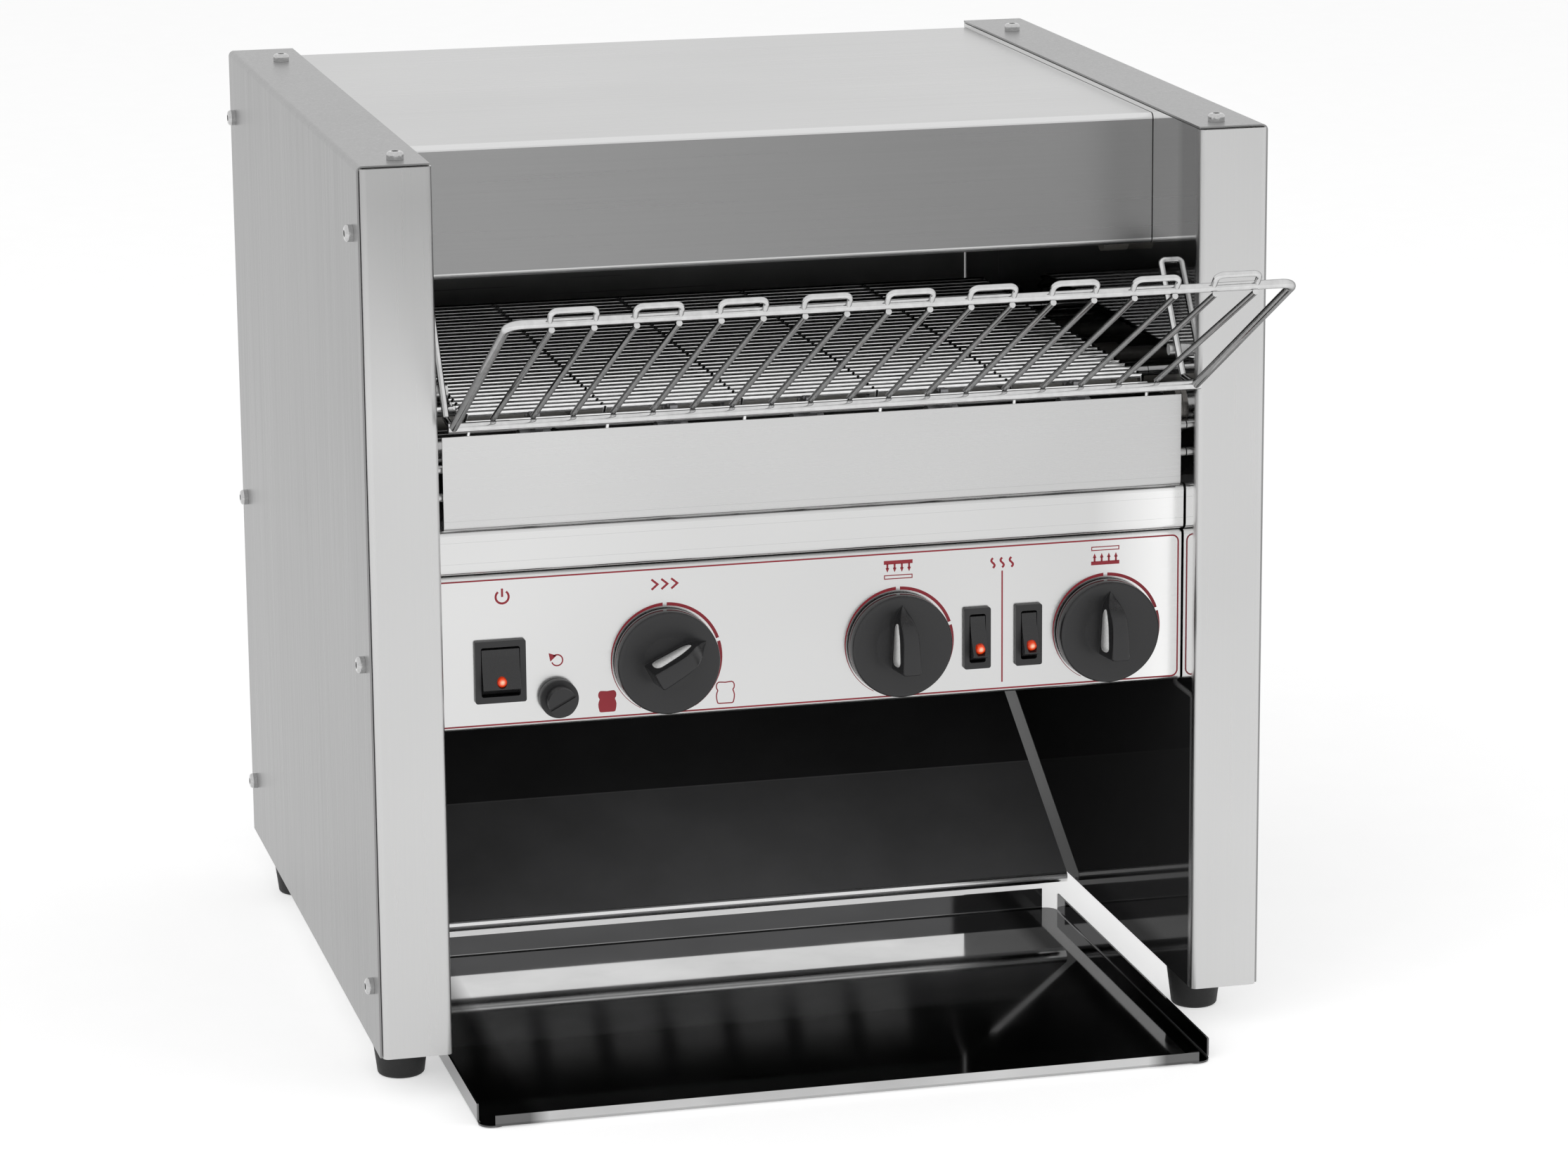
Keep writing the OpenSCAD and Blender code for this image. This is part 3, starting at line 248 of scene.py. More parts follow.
def grain_group():
    """Fine scratches of a brushed sheet, stretched along the grain, and slow waves."""

    def build(t, ins):
        place = t.place()
        fine = t.add("ShaderNodeVectorMath", place, ins["Stretch"], operation="MULTIPLY").outputs[0]
        scratch = t.add("ShaderNodeTexNoise", fine)
        scratch.inputs["Scale"].default_value = 1.0
        scratch.inputs["Detail"].default_value = 4.0
        slow = t.add("ShaderNodeTexNoise", place)
        slow.inputs["Scale"].default_value = 5.0
        slow.inputs["Detail"].default_value = 2.0
        darkest = t.math("SUBTRACT", 1.0, ins["Contrast"])
        return {
            "Scratch": scratch.outputs["Fac"],
            "Tone": t.ramp(scratch.outputs["Fac"], 0.25, 0.75, darkest, 1.0),
            "Wave": slow.outputs["Fac"],
        }

    return node_group(
        "Brushed grain",
        [("Stretch", VECTOR, (6.0, 900.0, 900.0)), ("Contrast", FLOAT, 0.06)],
        [("Scratch", FLOAT, None), ("Tone", FLOAT, None), ("Wave", FLOAT, None)],
        build,
    )


def fold_group():
    """Mask of a sheet's bends: where its face is neither level, upright nor on the slope."""

    def build(t, ins):
        facing = t.facing()
        flat = t.math("ABSOLUTE", t.dot(facing, ins["Slope"]))
        for part in t.split(facing):
            flat = t.math("MAXIMUM", flat, t.math("ABSOLUTE", part))
        return {"Fold": t.ramp(flat, 0.990, 0.997, 1.0, 0.0)}

    return node_group(
        "Sheet folds", [("Slope", VECTOR, (0.0, 0.0, 1.0))], [("Fold", FLOAT, None)], build
    )


def edge_wear_and_highlight_group():
    """Mask of the convex edges: where handling keeps the plastic bright, and where the polished sheets get
    a painted highlight.
    """

    def build(t, ins):
        rounded = t.add("ShaderNodeBevel", ins["Radius"], samples=6).outputs[0]
        edge = t.ramp(t.dot(rounded, t.facing("Normal")), 0.80, 0.995, 1.0, 0.0)
        worn = t.add("ShaderNodeTexNoise", t.place())
        worn.inputs["Scale"].default_value = 90.0
        return {"Edge": t.math("MULTIPLY", edge, t.ramp(worn.outputs["Fac"], 0.3, 0.6, 0.6, 1.0))}

    return node_group("Edge wear and highlight", [("Radius", FLOAT, 0.0004)], [("Edge", FLOAT, None)], build)


def speck_group():
    """Fine mottling of moulded, cast or ground surfaces."""

    def build(t, ins):
        noise = t.add("ShaderNodeTexNoise", t.place())
        t.plug(noise.inputs["Scale"], ins["Scale"])
        noise.inputs["Detail"].default_value = 6.0
        speck = noise.outputs["Fac"]
        darkest = t.math("SUBTRACT", 1.0, ins["Contrast"])
        return {"Speck": speck, "Tone": t.ramp(speck, 0.3, 0.7, darkest, 1.0)}

    return node_group(
        "Fine mottle",
        [("Scale", FLOAT, 900.0), ("Contrast", FLOAT, 0.1)],
        [("Speck", FLOAT, None), ("Tone", FLOAT, None)],
        build,
    )


BAND_SOCKETS = (("Value", 0.0), ("From", 0.0), ("To", 1.0), ("Feather", 0.001))


def band_group():
    """Mask of a band along one axis of the toaster, with soft limits."""

    def build(t, ins):
        above = t.math("SUBTRACT", ins["Value"], ins["From"])
        below = t.math("SUBTRACT", ins["To"], ins["Value"])
        inside = t.math("MINIMUM", above, below)
        return {"Mask": t.math("DIVIDE", inside, ins["Feather"], clamp=True)}

    return node_group(
        "Band",
        [(name, FLOAT, value) for name, value in BAND_SOCKETS],
        [("Mask", FLOAT, None)],
        build,
    )


def new_material(name):
    """A material with a Principled shader: gives the material, its tree and the shader."""
    material = bpy.data.materials.new(name)
    material.use_nodes = True
    t = Tree(material.node_tree)
    shader = next(n for n in t.nodes if n.type == "BSDF_PRINCIPLED")
    return material, t, shader


def place_group(t, group, **values):
    """Places a node group in a material with its own values."""
    node = t.nodes.new("ShaderNodeGroup")
    node.node_tree = group
    for name, value in values.items():
        t.plug(node.inputs[name], value)
    return node.outputs


def band(t, value, low, high, feather):
    """Mask of the values between low and high."""
    return place_group(t, band_group(), Value=value, From=low, To=high, Feather=feather)["Mask"]


def colour_of(shader):
    """Link that gives a shader its base colour so far."""
    return shader.inputs["Base Color"].links[0].from_socket


def bump(t, shader, height, distance, strength):
    """Raises the surface by a height between 0 and 1, over a distance in metres."""
    node = t.add("ShaderNodeBump")
    node.inputs["Strength"].default_value = strength
    node.inputs["Distance"].default_value = distance
    t.plug(node.inputs["Height"], height)
    t.plug(shader.inputs["Normal"], node.outputs[0])


def dress(nodes, material):
    """Gives CAD nodes their material."""
    for name in nodes:
        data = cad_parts[name].data
        data.materials.clear()
        data.materials.append(material)


def smooth_edges(nodes, width):
    """Rounds the edges of small CAD nodes with modifiers, leaving their meshes as they are."""
    for name in nodes:
        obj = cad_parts[name]
        weld = obj.modifiers.new("Weld", "WELD")
        weld.merge_threshold = 0.01 * MM
        bevel = obj.modifiers.new("Round edges", "BEVEL")
        bevel.width, bevel.segments = width, 2
        bevel.limit_method, bevel.angle_limit = "ANGLE", math.radians(35)
        bevel.harden_normals = True


# ------------------------------------------------------------------ materials

# Stretch of the brushed grain along x and along z
ALONG_X = (5.0, 700.0, 700.0)
ALONG_Z = (700.0, 700.0, 5.0)

# Heights, depths and distances over which a finish, or the light and shade painted on it, changes, in
# metres
SIDE_TO_SIDE = (-0.2, 0.2)
PANEL_END = (0.150, 0.195)
CREASE = 0.0001
CHUTE_CREASE_Y = 0.148
CHUTE_SLOPE = math.radians(30.4)
TRAY_BORDER = (0.160, 0.170)
TRAY_BACK = (0.0, 0.05)
REAR_LIGHTENS = (0.285, 0.315)
POST_TOP = (0.36, 0.47)
WALL_LIGHTENS = (0.22, 0.32)
WALL_TOP = (0.405, 0.425)
WALL_BACK = (0.19, 0.26)
WALL_FRONT = (-0.115, -0.105)
WALL_FRONT_FOOT = (0.184, 0.188)


def brushed_steel(name, base, roughness, stretch, contrast=0.05):
    """Brushed stainless sheet with its grain along one axis."""
    material, t, shader = new_material(name)
    grain = place_group(t, grain_group(), Stretch=stretch, Contrast=contrast)
    tone = t.tint(rgba(base), grain["Tone"])
    t.plug(shader.inputs["Base Color"], t.tint(tone, t.ramp(grain["Wave"], 0.3, 0.7, 0.95, 1.03)))
    shader.inputs["Metallic"].default_value = 1.0
    dull = t.ramp(grain["Scratch"], 0.2, 0.8, roughness - 0.05, roughness + 0.06)
    t.plug(shader.inputs["Roughness"], dull)
    bump(t, shader, grain["Scratch"], 0.02 * MM, 0.2)
    return material, t, shader


def rear_steel(steel):
    """Rear panel: brushed outside; its dull inner face has painted shade, near-black low down and lighter
    higher up, with mottled soot.
    """
    material, t, shader = brushed_steel("Rear panel steel", steel.casing, steel.roughness, ALONG_X)
    # Painted shade on the inner face, which looks towards the front
    inside = t.ramp(t.split(t.facing())[1], 0.0, 0.5, 1.0, 0.0)
    soot = place_group(t, speck_group(), Scale=12.0, Contrast=0.4)
    # Painted shade below REAR_LIGHTENS, less of it above
    above = t.ramp(t.split(t.place())[2], *REAR_LIGHTENS)
    sheet = t.mix(above, rgba(steel.painted_shade), rgba(steel.casing, 0.8))
    body = t.mix(inside, colour_of(shader), t.tint(sheet, soot["Tone"]))
    t.plug(shader.inputs["Base Color"], body)
    t.plug(shader.inputs["Metallic"], t.blend(inside, 1.0, 0.4))
    return material


def panel_steel(node, base, roughness, creases=()):
    """Front panel: brushed across, with painted shade deepening towards the right, painted light at the
    right end of the ledge and the fascia, and a fine shadow at each crease.

    Creases are heights above the panel's lower edge.
    """
    name = node.replace("_", " ") + " steel"
    material, t, shader = brushed_steel(name, base, roughness, ALONG_X, 0.025)
    x, _, z = t.split(t.place())
    # Painted shade: lighter at the left end and darker towards the right
    tone = t.tint(colour_of(shader), t.ramp(x, *SIDE_TO_SIDE, 1.05, 0.93))
    # Painted light on the right end of the ledge and the fascia
    if node != "apron":
        tone = t.tint(tone, t.ramp(x, *PANEL_END, 1.0, 1.5))
    for height in creases:
        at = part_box(node)[0].z + height
        tone = t.mix(band(t, z, at - CREASE, at + CREASE, 2 * CREASE), tone, rgba(base, 0.35))
    t.plug(shader.inputs["Base Color"], tone)
    return material


def hood_steel(steel):
    """Top cover: light roof, painted shade on its front that deepens to the right, and a painted highlight
    on its bends.
    """
    material, t, shader = brushed_steel("Hood steel", steel.roof, steel.roughness, ALONG_X)
    # Painted shade: the front face takes the darker front colour, lighter at the left end and darker at the
    # right
    front = t.ramp(t.split(t.facing())[1], -0.99, -0.90, 1.0, 0.0)
    shade = t.tint(rgba(steel.hood_front_shade), t.ramp(t.split(t.place())[0], *SIDE_TO_SIDE, 1.12, 0.82))
    grain = place_group(t, grain_group(), Stretch=ALONG_X, Contrast=0.05)
    body = t.mix(front, colour_of(shader), t.tint(shade, grain["Tone"]))
    # Painted highlight on the bends
    folds = place_group(t, fold_group())
    t.plug(shader.inputs["Base Color"], t.mix(folds["Fold"], body, rgba(steel.fold_highlight)))
    return material


def mirror_sheet(name, base, fold_highlight, roughness, slope=(0.0, 0.0, 1.0), metallic=1.0):
    """Polished inner sheet: its base colour where it is flat, with a painted highlight at its bends and
    edges.
    """
    material, t, shader = new_material(name)
    folds = place_group(t, fold_group(), Slope=slope)
    edges = place_group(t, edge_wear_and_highlight_group(), Radius=0.3 * MM)
    # Painted highlight on the bends and edges
    bright = t.math("MAXIMUM", folds["Fold"], edges["Edge"])
    smear = place_group(t, speck_group(), Scale=14.0, Contrast=0.25)
    t.plug(shader.inputs["Base Color"], t.mix(bright, t.tint(base, smear["Tone"]), fold_highlight))
    t.plug(shader.inputs["Metallic"], t.blend(bright, metallic, 1.0))
    dull = t.ramp(smear["Speck"], 0.3, 0.8, roughness - 0.02, roughness + 0.03)
    t.plug(shader.inputs["Roughness"], t.blend(bright, dull, 0.16))
    return material, t, shader


def chute_sheet(steel):
    """Return chute: dull sheet in a lightened painted shade colour, with a painted reflection that makes it
    darker above its crease, a painted highlight along the crease and on its rolled edge and bends, and
    painted shade on its side flanges.
    """
    across = (0.0, -math.sin(CHUTE_SLOPE), math.cos(CHUTE_SLOPE))
    base, fold_highlight, crease = rgba(steel.painted_shade, 2.1), rgba(steel.fold_highlight), 0.6 * MM
    material, t, shader = mirror_sheet("Chute sheet", base, fold_highlight, 0.24, across, 0.08)
    # Painted shade on the side flanges
    flange = t.ramp(t.math("ABSOLUTE", t.split(t.facing())[0]), 0.7, 0.9)
    body = t.mix(flange, colour_of(shader), rgba(steel.painted_shade))
    y = t.split(t.place())[1]
    # Painted reflection: darker above the crease
    above = t.ramp(y, CHUTE_CREASE_Y - crease / 2, CHUTE_CREASE_Y + crease / 2, 1.0, 0.30)
    # Painted highlight: a light line along the crease
    line = band(t, y, CHUTE_CREASE_Y - crease, CHUTE_CREASE_Y + crease, 0.4 * MM)
    t.plug(shader.inputs["Base Color"], t.mix(line, t.tint(body, above), rgba(steel.mirror)))
    return material


def tray_sheet(steel):
    """Collecting tray: mirror floor, darker near its sides, with painted shade on its back and side flanges
    and a painted highlight on its bends and edges.
    """
    # Painted highlight: the bends and edges take a dimmer bend highlight
    base, fold_highlight = rgba(steel.tray), rgba(steel.fold_highlight, 0.55)
    material, t, shader = mirror_sheet("Tray sheet", base, fold_highlight, 0.05)
    across, facing_y, _ = t.split(t.facing())
    x, y, _ = t.split(t.place())
    body = t.tint(colour_of(shader), t.ramp(t.math("ABSOLUTE", x), *TRAY_BORDER, 1.0, 0.25))
    forward = t.ramp(facing_y, -0.99, -0.90, 1.0, 0.0)
    back = t.math("MULTIPLY", forward, t.ramp(y, *TRAY_BACK))
    sides = t.ramp(t.math("ABSOLUTE", across), 0.7, 0.9)
    flanges = t.math("MAXIMUM", back, sides)
    # Painted shade on the back and side flanges
    t.plug(shader.inputs["Base Color"], t.mix(flanges, body, rgba(steel.painted_shade)))
    return material


def frame_steel(steel, side, top_shade):
    """Side frame: brushed post and flanges, with painted shade at the top of the post and painted light on
    faces that look up; the polished inner wall has painted shade that deepens towards the bottom, and a
    painted reflection in a light band at its top.
    """
    name = "Frame steel " + side
    material, t, shader = brushed_steel(name, steel.casing, steel.roughness, ALONG_Z, 0.025)
    facing_x, _, facing_z = t.split(t.facing())
    x, y, z = t.split(t.place())
    # Painted shade at the top of the post, deeper on the left post
    light = t.tint(colour_of(shader), t.ramp(z, *POST_TOP, 1.0, top_shade))
    # Painted light on faces that look up
    light = t.tint(light, t.ramp(facing_z, 0.7, 0.9, 1.0, 1.25))
    # The inner wall: upright, beside the hood's end, between the post and the rear flange
    low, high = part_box("side_frame_" + side)
    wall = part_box("hood")[1].x + 0.3 * MM
    near = band(t, t.math("ABSOLUTE", x), wall - 0.8 * MM, wall + 0.8 * MM, 0.2 * MM)
    deep = band(t, y, low.y + 4 * MM, high.y + 10 * MM, 4 * MM)
    inward = t.ramp(t.math("ABSOLUTE", facing_x), 0.9, 0.99)
    inner = t.math("MULTIPLY", t.math("MULTIPLY", inward, near), deep)
    upper = t.ramp(z, *WALL_LIGHTENS)
    front = t.ramp(y, *WALL_FRONT, 1.0, 0.0)
    lip = t.math("MULTIPLY", front, t.ramp(z, *WALL_FRONT_FOOT))
    # Painted shade on the inner wall, deepening towards the bottom, and a painted reflection in a light
    # band at its top
    tone = t.mix(upper, rgba(steel.painted_shade, 0.2), rgba(steel.mirror))
    tone = t.mix(t.ramp(z, *WALL_TOP), tone, rgba(steel.casing, 1.4))
    tone = t.mix(lip, tone, rgba(steel.casing))
    t.plug(shader.inputs["Base Color"], t.mix(inner, light, tone))
    fading = t.math("MULTIPLY", upper, t.ramp(y, *WALL_BACK, 1.0, 0.08))
    sheen = t.blend(t.math("MAXIMUM", fading, lip), 0.10, 1.0)
    t.plug(shader.inputs["Metallic"], t.blend(inner, 1.0, sheen))
    shader.inputs["Specular IOR Level"].default_value = 0.05
    rough = shader.inputs["Roughness"].links[0].from_socket
    t.plug(shader.inputs["Roughness"], t.blend(inner, rough, 0.05))
    return material


def bright_wire(name, base, roughness):
    """Drawn and polished wire with faint die lines, darker where it turns away."""
    material, t, shader = new_material(name)
    speck = place_group(t, speck_group(), Scale=260.0, Contrast=0.14)
    t.plug(shader.inputs["Base Color"], t.tint(base, speck["Tone"]))
    shader.inputs["Metallic"].default_value = 1.0
    shader.inputs["Specular Tint"].default_value = (0.30, 0.30, 0.30, 1.0)
    dull = t.ramp(speck["Speck"], 0.3, 0.7, roughness - 0.02, roughness + 0.03)
    t.plug(shader.inputs["Roughness"], dull)
    bump(t, shader, speck["Speck"], 0.01 * MM, 0.2)
    return material


def moulding(name, base, roughness, grain_size=1500.0, worn=0.10, side_roughness=None):
    """Moulded plastic with a fine spark-eroded grain and rubbed edges.

    With side_roughness, the faces that look sideways are smoother or duller than the front.
    """
    material, t, shader = new_material(name)
    speck = place_group(t, speck_group(), Scale=grain_size, Contrast=0.3)
    edges = place_group(t, edge_wear_and_highlight_group(), Radius=0.5 * MM)
    rubbed = (*(min(1.0, c + worn * 0.6) for c in base), 1.0)
    wear = t.math("MULTIPLY", edges["Edge"], worn * 4)
    t.plug(shader.inputs["Base Color"], t.mix(wear, t.tint(rgba(base), speck["Tone"]), rubbed))
    dull = t.ramp(speck["Speck"], 0.3, 0.7, roughness - 0.06, roughness + 0.08)
    if side_roughness is not None:
        forward = t.math("ABSOLUTE", t.split(t.facing("Normal"))[1])
        dull = t.blend(t.ramp(forward, 0.3, 0.6, 1.0, 0.0), dull, side_roughness)
    t.plug(shader.inputs["Roughness"], dull)
    bump(t, shader, speck["Speck"], 0.04 * MM, 0.4)
    return material


def ground_metal(name, base, roughness, metallic=1.0, size=400.0, contrast=0.15):
    """Turned, cast, plated or painted working part."""
    material, t, shader = new_material(name)
    speck = place_group(t, speck_group(), Scale=size, Contrast=contrast)
    t.plug(shader.inputs["Base Color"], t.tint(rgba(base), speck["Tone"]))
    shader.inputs["Metallic"].default_value = metallic
    dull = t.ramp(speck["Speck"], 0.3, 0.7, roughness - 0.07, roughness + 0.08)
    t.plug(shader.inputs["Roughness"], dull)
    bump(t, shader, speck["Speck"], 0.05 * MM, 0.4)
    return material


LAMP_BODY = (0.30, 0.015, 0.002, 1.0)
LAMP_HOT, LAMP_RING, LAMP_RIM = (1.0, 0.74, 0.50, 1.0), (0.80, 0.060, 0.004, 1.0), (0.22, 0.008, 0.0, 1.0)


def lamp_glow():
    """Orange lens with a hot middle."""
    material, t, shader = new_material("Lamp lens")
    x, _, z = t.split(t.add("ShaderNodeTexCoord").outputs["Generated"])
    centred = (t.math("SUBTRACT", x, 0.5), 0.0, t.math("SUBTRACT", z, 0.5))
    across = t.add("ShaderNodeCombineXYZ", *centred).outputs[0]
    away = t.add("ShaderNodeVectorMath", across, operation="LENGTH").outputs["Value"]
    grain = place_group(t, speck_group(), Scale=600.0, Contrast=0.25)
    rim = t.mix(t.ramp(away, 0.34, 0.48), LAMP_RING, LAMP_RIM)
    glow = t.mix(t.ramp(away, 0.08, 0.30, 1.0, 0.0), rim, LAMP_HOT)
    t.plug(shader.inputs["Base Color"], t.tint(LAMP_BODY, grain["Tone"]))
    t.plug(shader.inputs["Emission Color"], t.tint(glow, grain["Tone"]))
    shader.inputs["Emission Strength"].default_value = 0.9
    shader.inputs["Roughness"].default_value = 0.15
    return material


def seen_directly(t):
    """Mask of what the camera sees straight, in gloss and through glass."""
    path = t.add("ShaderNodeLightPath").outputs
    seen = t.math("MAXIMUM", path["Is Camera Ray"], path["Is Glossy Ray"])
    return t.math("MAXIMUM", seen, path["Is Transmission Ray"])


def floor_material():
    """White floor that keeps the toaster's soft shadow."""
    material, t, shader = new_material("Floor")
    speck = place_group(t, speck_group(), Scale=30.0, Contrast=0.02)
    t.plug(shader.inputs["Base Color"], t.tint(FLOOR_TONE, speck["Tone"]))
    shader.inputs["Roughness"].default_value = 0.9
    shader.inputs["Specular IOR Level"].default_value = 0.0
    glow = t.add("ShaderNodeEmission", WHITE, t.math("MULTIPLY", seen_directly(t), FLOOR_GLOW))
    both = t.add("ShaderNodeAddShader", shader.outputs[0], glow.outputs[0])
    out = next(n for n in t.nodes if n.type == "OUTPUT_MATERIAL")
    t.plug(out.inputs["Surface"], both.outputs[0])
    return material


# ------------------------------------------------------------------ mesh helpers


def new_piece(name, bm, material, body, smooth=True):
    """Makes an object from a bmesh, with its material and body."""
    mesh = bpy.data.meshes.new(name)
    bm.normal_update()
    bm.to_mesh(mesh)
    bm.free()
    mesh.materials.append(material)
    if smooth:
        for polygon in mesh.polygons:
            polygon.use_smooth = True
        mesh.set_sharp_from_angle(angle=math.radians(38))
    obj = bpy.data.objects.new(name, mesh)
    bpy.context.scene.collection.objects.link(obj)
    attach(obj, body)
    return obj


def thicken(obj, thickness):
    """Gives a flat piece its thickness, half to each side."""
    solid = obj.modifiers.new("Thickness", "SOLIDIFY")
    solid.thickness, solid.offset = thickness, 0.0


def skin(bm, rings):
    """Joins closed rings of equally many points into a closed skin."""
    made = [[bm.verts.new(p) for p in ring] for ring in rings]
    for a, b in zip(made, made[1:]):
        for i in range(len(a)):
            j = (i + 1) % len(a)
            bm.faces.new((a[i], a[j], b[j], b[i]))
    bm.faces.new(list(reversed(made[0])))
    bm.faces.new(made[-1])


def lathe(bm, profile, segments, place):
    """Turns a profile of (radius, height) points; place maps (u, v, height) to a point."""
    angles = [2 * math.pi * k / segments for k in range(segments)]
    skin(bm, [[place(r * math.cos(a), r * math.sin(a), h) for a in angles] for r, h in profile])


def ribbon(bm, left, right):
    """A flat strip between two lines of points."""
    pairs = [(bm.verts.new(a), bm.verts.new(b)) for a, b in zip(left, right)]
    for (a, b), (c, d) in zip(pairs, pairs[1:]):
        bm.faces.new((a, b, d, c))


# ------------------------------------------------------------------ knobs

# Each knob's node, spindle, body and turn of its pointer from upright, in degrees
KNOBS = {
    "speed": ("speed_knob", "speed_spindle", "speed_dial", 62.0),
    "upper_heat": ("upper_heat_knob", "upper_heat_spindle", "upper_heat_dial", 0.0),
    "lower_heat": ("lower_heat_knob", "lower_heat_spindle", "lower_heat_dial", 0.0),
}


def knob_place(spindle, node, turn):
    """Maps (across, along the pointer, out) to a point in front of the fascia."""
    centre = middle(spindle)
    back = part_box(node)[1].y
    c, s = math.cos(math.radians(turn)), math.sin(math.radians(turn))

    def place(u, v, h):
        return Vector((centre.x + u * c + v * s, back - h, centre.z - u * s + v * c))

    return place


# Grip from tail to tip, as shares: place along the pointer, half widths at the disc and at the
# face, height
GRIP = (
    (-0.54, 1.20, 1.00, 1.00), (-0.25, 1.13, 0.97, 0.99), (0.00, 1.07, 0.93, 0.98),
    (0.20, 1.035, 0.90, 0.955), (0.36, 1.01, 0.88, 0.91), (0.50, 0.97, 0.85, 0.82),
    (0.61, 0.88, 0.81, 0.68), (0.72, 0.74, 0.71, 0.48), (0.81, 0.56, 0.54, 0.29),
    (0.90, 0.32, 0.30, 0.16), (0.965, 0.13, 0.12, 0.10), (1.00, 0.02, 0.02, 0.07),
)
# White leaf on the flank, tail to tip, in mm: place along the pointer, lower and upper edge
LEAF = (
    (-8.8, 7.6, 8.4), (-8.7, 6.0, 10.0), (-8.4, 4.6, 11.5), (-7.8, 3.5, 12.9), (-6.9, 2.8, 13.9),
    (-5.5, 2.4, 14.4), (0.0, 2.4, 13.5), (6.9, 2.7, 12.0), (11.0, 3.2, 9.9), (12.8, 4.0, 8.4),
    (13.6, 5.0, 7.4), (13.9, 6.0, 6.4),
)
# Rim of a knob's disc, in mm: distance in from the rim, with the height above the back, and then
# with the depth below the highest place
RIM_BACK = ((0.6, 0.0), (0.1, 0.5), (0.0, 1.4))
RIM_FRONT = ((0.3, 1.2), (0.6, 0.5), (1.1, 0.1), (1.8, 0.0), (2.6, 0.1))
BORE = 3.2 * MM
DISH_DEPTH, DISH_RADIUS = 1.4 * MM, 13.2 * MM
TAIL_LEAN, TAIL_ROUND = 1.2 * MM, 1.1 * MM
EDGE_ROUND = 1.2 * MM
GRIP_SUNK = 0.8 * MM
LEAF_PROUD, LEAF_THICK = 0.12 * MM, 0.1 * MM
THINNEST = 0.1 * MM


def along(table, x):
    """Values of a table at x, joined by smooth curves."""
    i = 0
    while i < len(table) - 2 and x > table[i + 1][0]:
        i += 1
    before, a, b, after = table[max(i - 1, 0)], table[i], table[i + 1], table[min(i + 2, len(table) - 1)]
    step = b[0] - a[0]
    s = min(1.0, max(0.0, (x - a[0]) / step))
    values = []
    for k in range(1, len(a)):
        rise_a = (b[k] - before[k]) / (b[0] - before[0]) * step
        rise_b = (after[k] - a[k]) / (after[0] - a[0]) * step
        values.append(
            a[k] * (2 * s**3 - 3 * s**2 + 1) + b[k] * (3 * s**2 - 2 * s**3)
            + rise_a * (s**3 - 2 * s**2 + s) + rise_b * (s**3 - s**2)
        )
    return values


def grip_at(v, dials):
    """Half width at the disc, half width of the face and height of a grip, at v along it."""
    foot, face, top = along(GRIP, v / dials.grip_tip)
    half = dials.grip_width / 2
    return max(THINNEST, foot * half), max(THINNEST, face * half), top * dials.grip_height


def tail_lean(v, dials):
    """How far the top of the grip leans towards its tip at v, full at the tail."""
    return TAIL_LEAN * max(0.0, min(1.0, -v / (0.5 * dials.grip_tip)))


def grip_ring(place, v, base, dials, inset=0.0):
    """One cross-section of the grip: leaning flanks, rounded edges and a slight crown."""
    foot, face, top = grip_at(v, dials)
    foot, face, top = max(THINNEST, foot - inset), max(THINNEST, face - inset), top - inset * 0.6
    r = min(EDGE_ROUND, face * 0.6, top * 0.3)
    half = [(foot, -GRIP_SUNK), (foot + (face - foot) * 0.5, top * 0.5)]
    for k in range(5):
        a = math.radians(90 * k / 4)
        half.append((face - r + r * math.cos(a), top - r + r * math.sin(a)))
    half.append((face * 0.4, top + face * 0.03))
    lean = tail_lean(v, dials)
    return [place(u, v + lean * h / top, base + h) for u, h in half + [(-u, h) for u, h in reversed(half)]]


def build_dial(dials, place, radius, dish):
    """Disc with a dished face and bevelled rim, and a tall pointed grip."""
    bm = bmesh.new()
    thick = dials.disc_thickness
    profile = [(BORE, 0.0)]
    profile += [(radius - inward * MM, up * MM) for inward, up in RIM_BACK]
    profile += [(radius - inward * MM, thick - down * MM) for inward, down in RIM_FRONT]
    profile += [(DISH_RADIUS + MM, dish + 0.1 * MM), (DISH_RADIUS, dish), (BORE, dish)]
    lathe(bm, profile, bpy.context.scene.toaster_studio.dial_segments, place)
    start = GRIP[0][0] * dials.grip_tip + TAIL_ROUND
    rings = []
    for k in range(3, -1, -1):
        a = math.radians(30 * k)
        back, inset = TAIL_ROUND * math.sin(a), TAIL_ROUND * (1 - math.cos(a))
        rings.append(grip_ring(place, start - back, dish, dials, inset))
    for k in range(1, 41):
        rings.append(grip_ring(place, start + (dials.grip_tip - start) * k / 40, dish, dials))
    skin(bm, rings)
    bmesh.ops.recalc_face_normals(bm, faces=bm.faces)
    return bm


def build_leaf(dials, place, dish):
    """Leaf that lies on the grip's leaning flank."""
    bm = bmesh.new()
    lower, upper = [], []
    for k in range(61):
        v = LEAF[0][0] + (LEAF[-1][0] - LEAF[0][0]) * (1 - math.cos(math.pi * k / 60)) / 2
        foot, face, top = grip_at(v * MM, dials)
        for line, h in zip((lower, upper), along(LEAF, v)):
            up = h * MM / top
            out = foot + (face - foot) * up + LEAF_PROUD
            line.append(place(-out, v * MM + tail_lean(v * MM, dials) * up, dish + h * MM))
    ribbon(bm, upper, lower)
    return bm


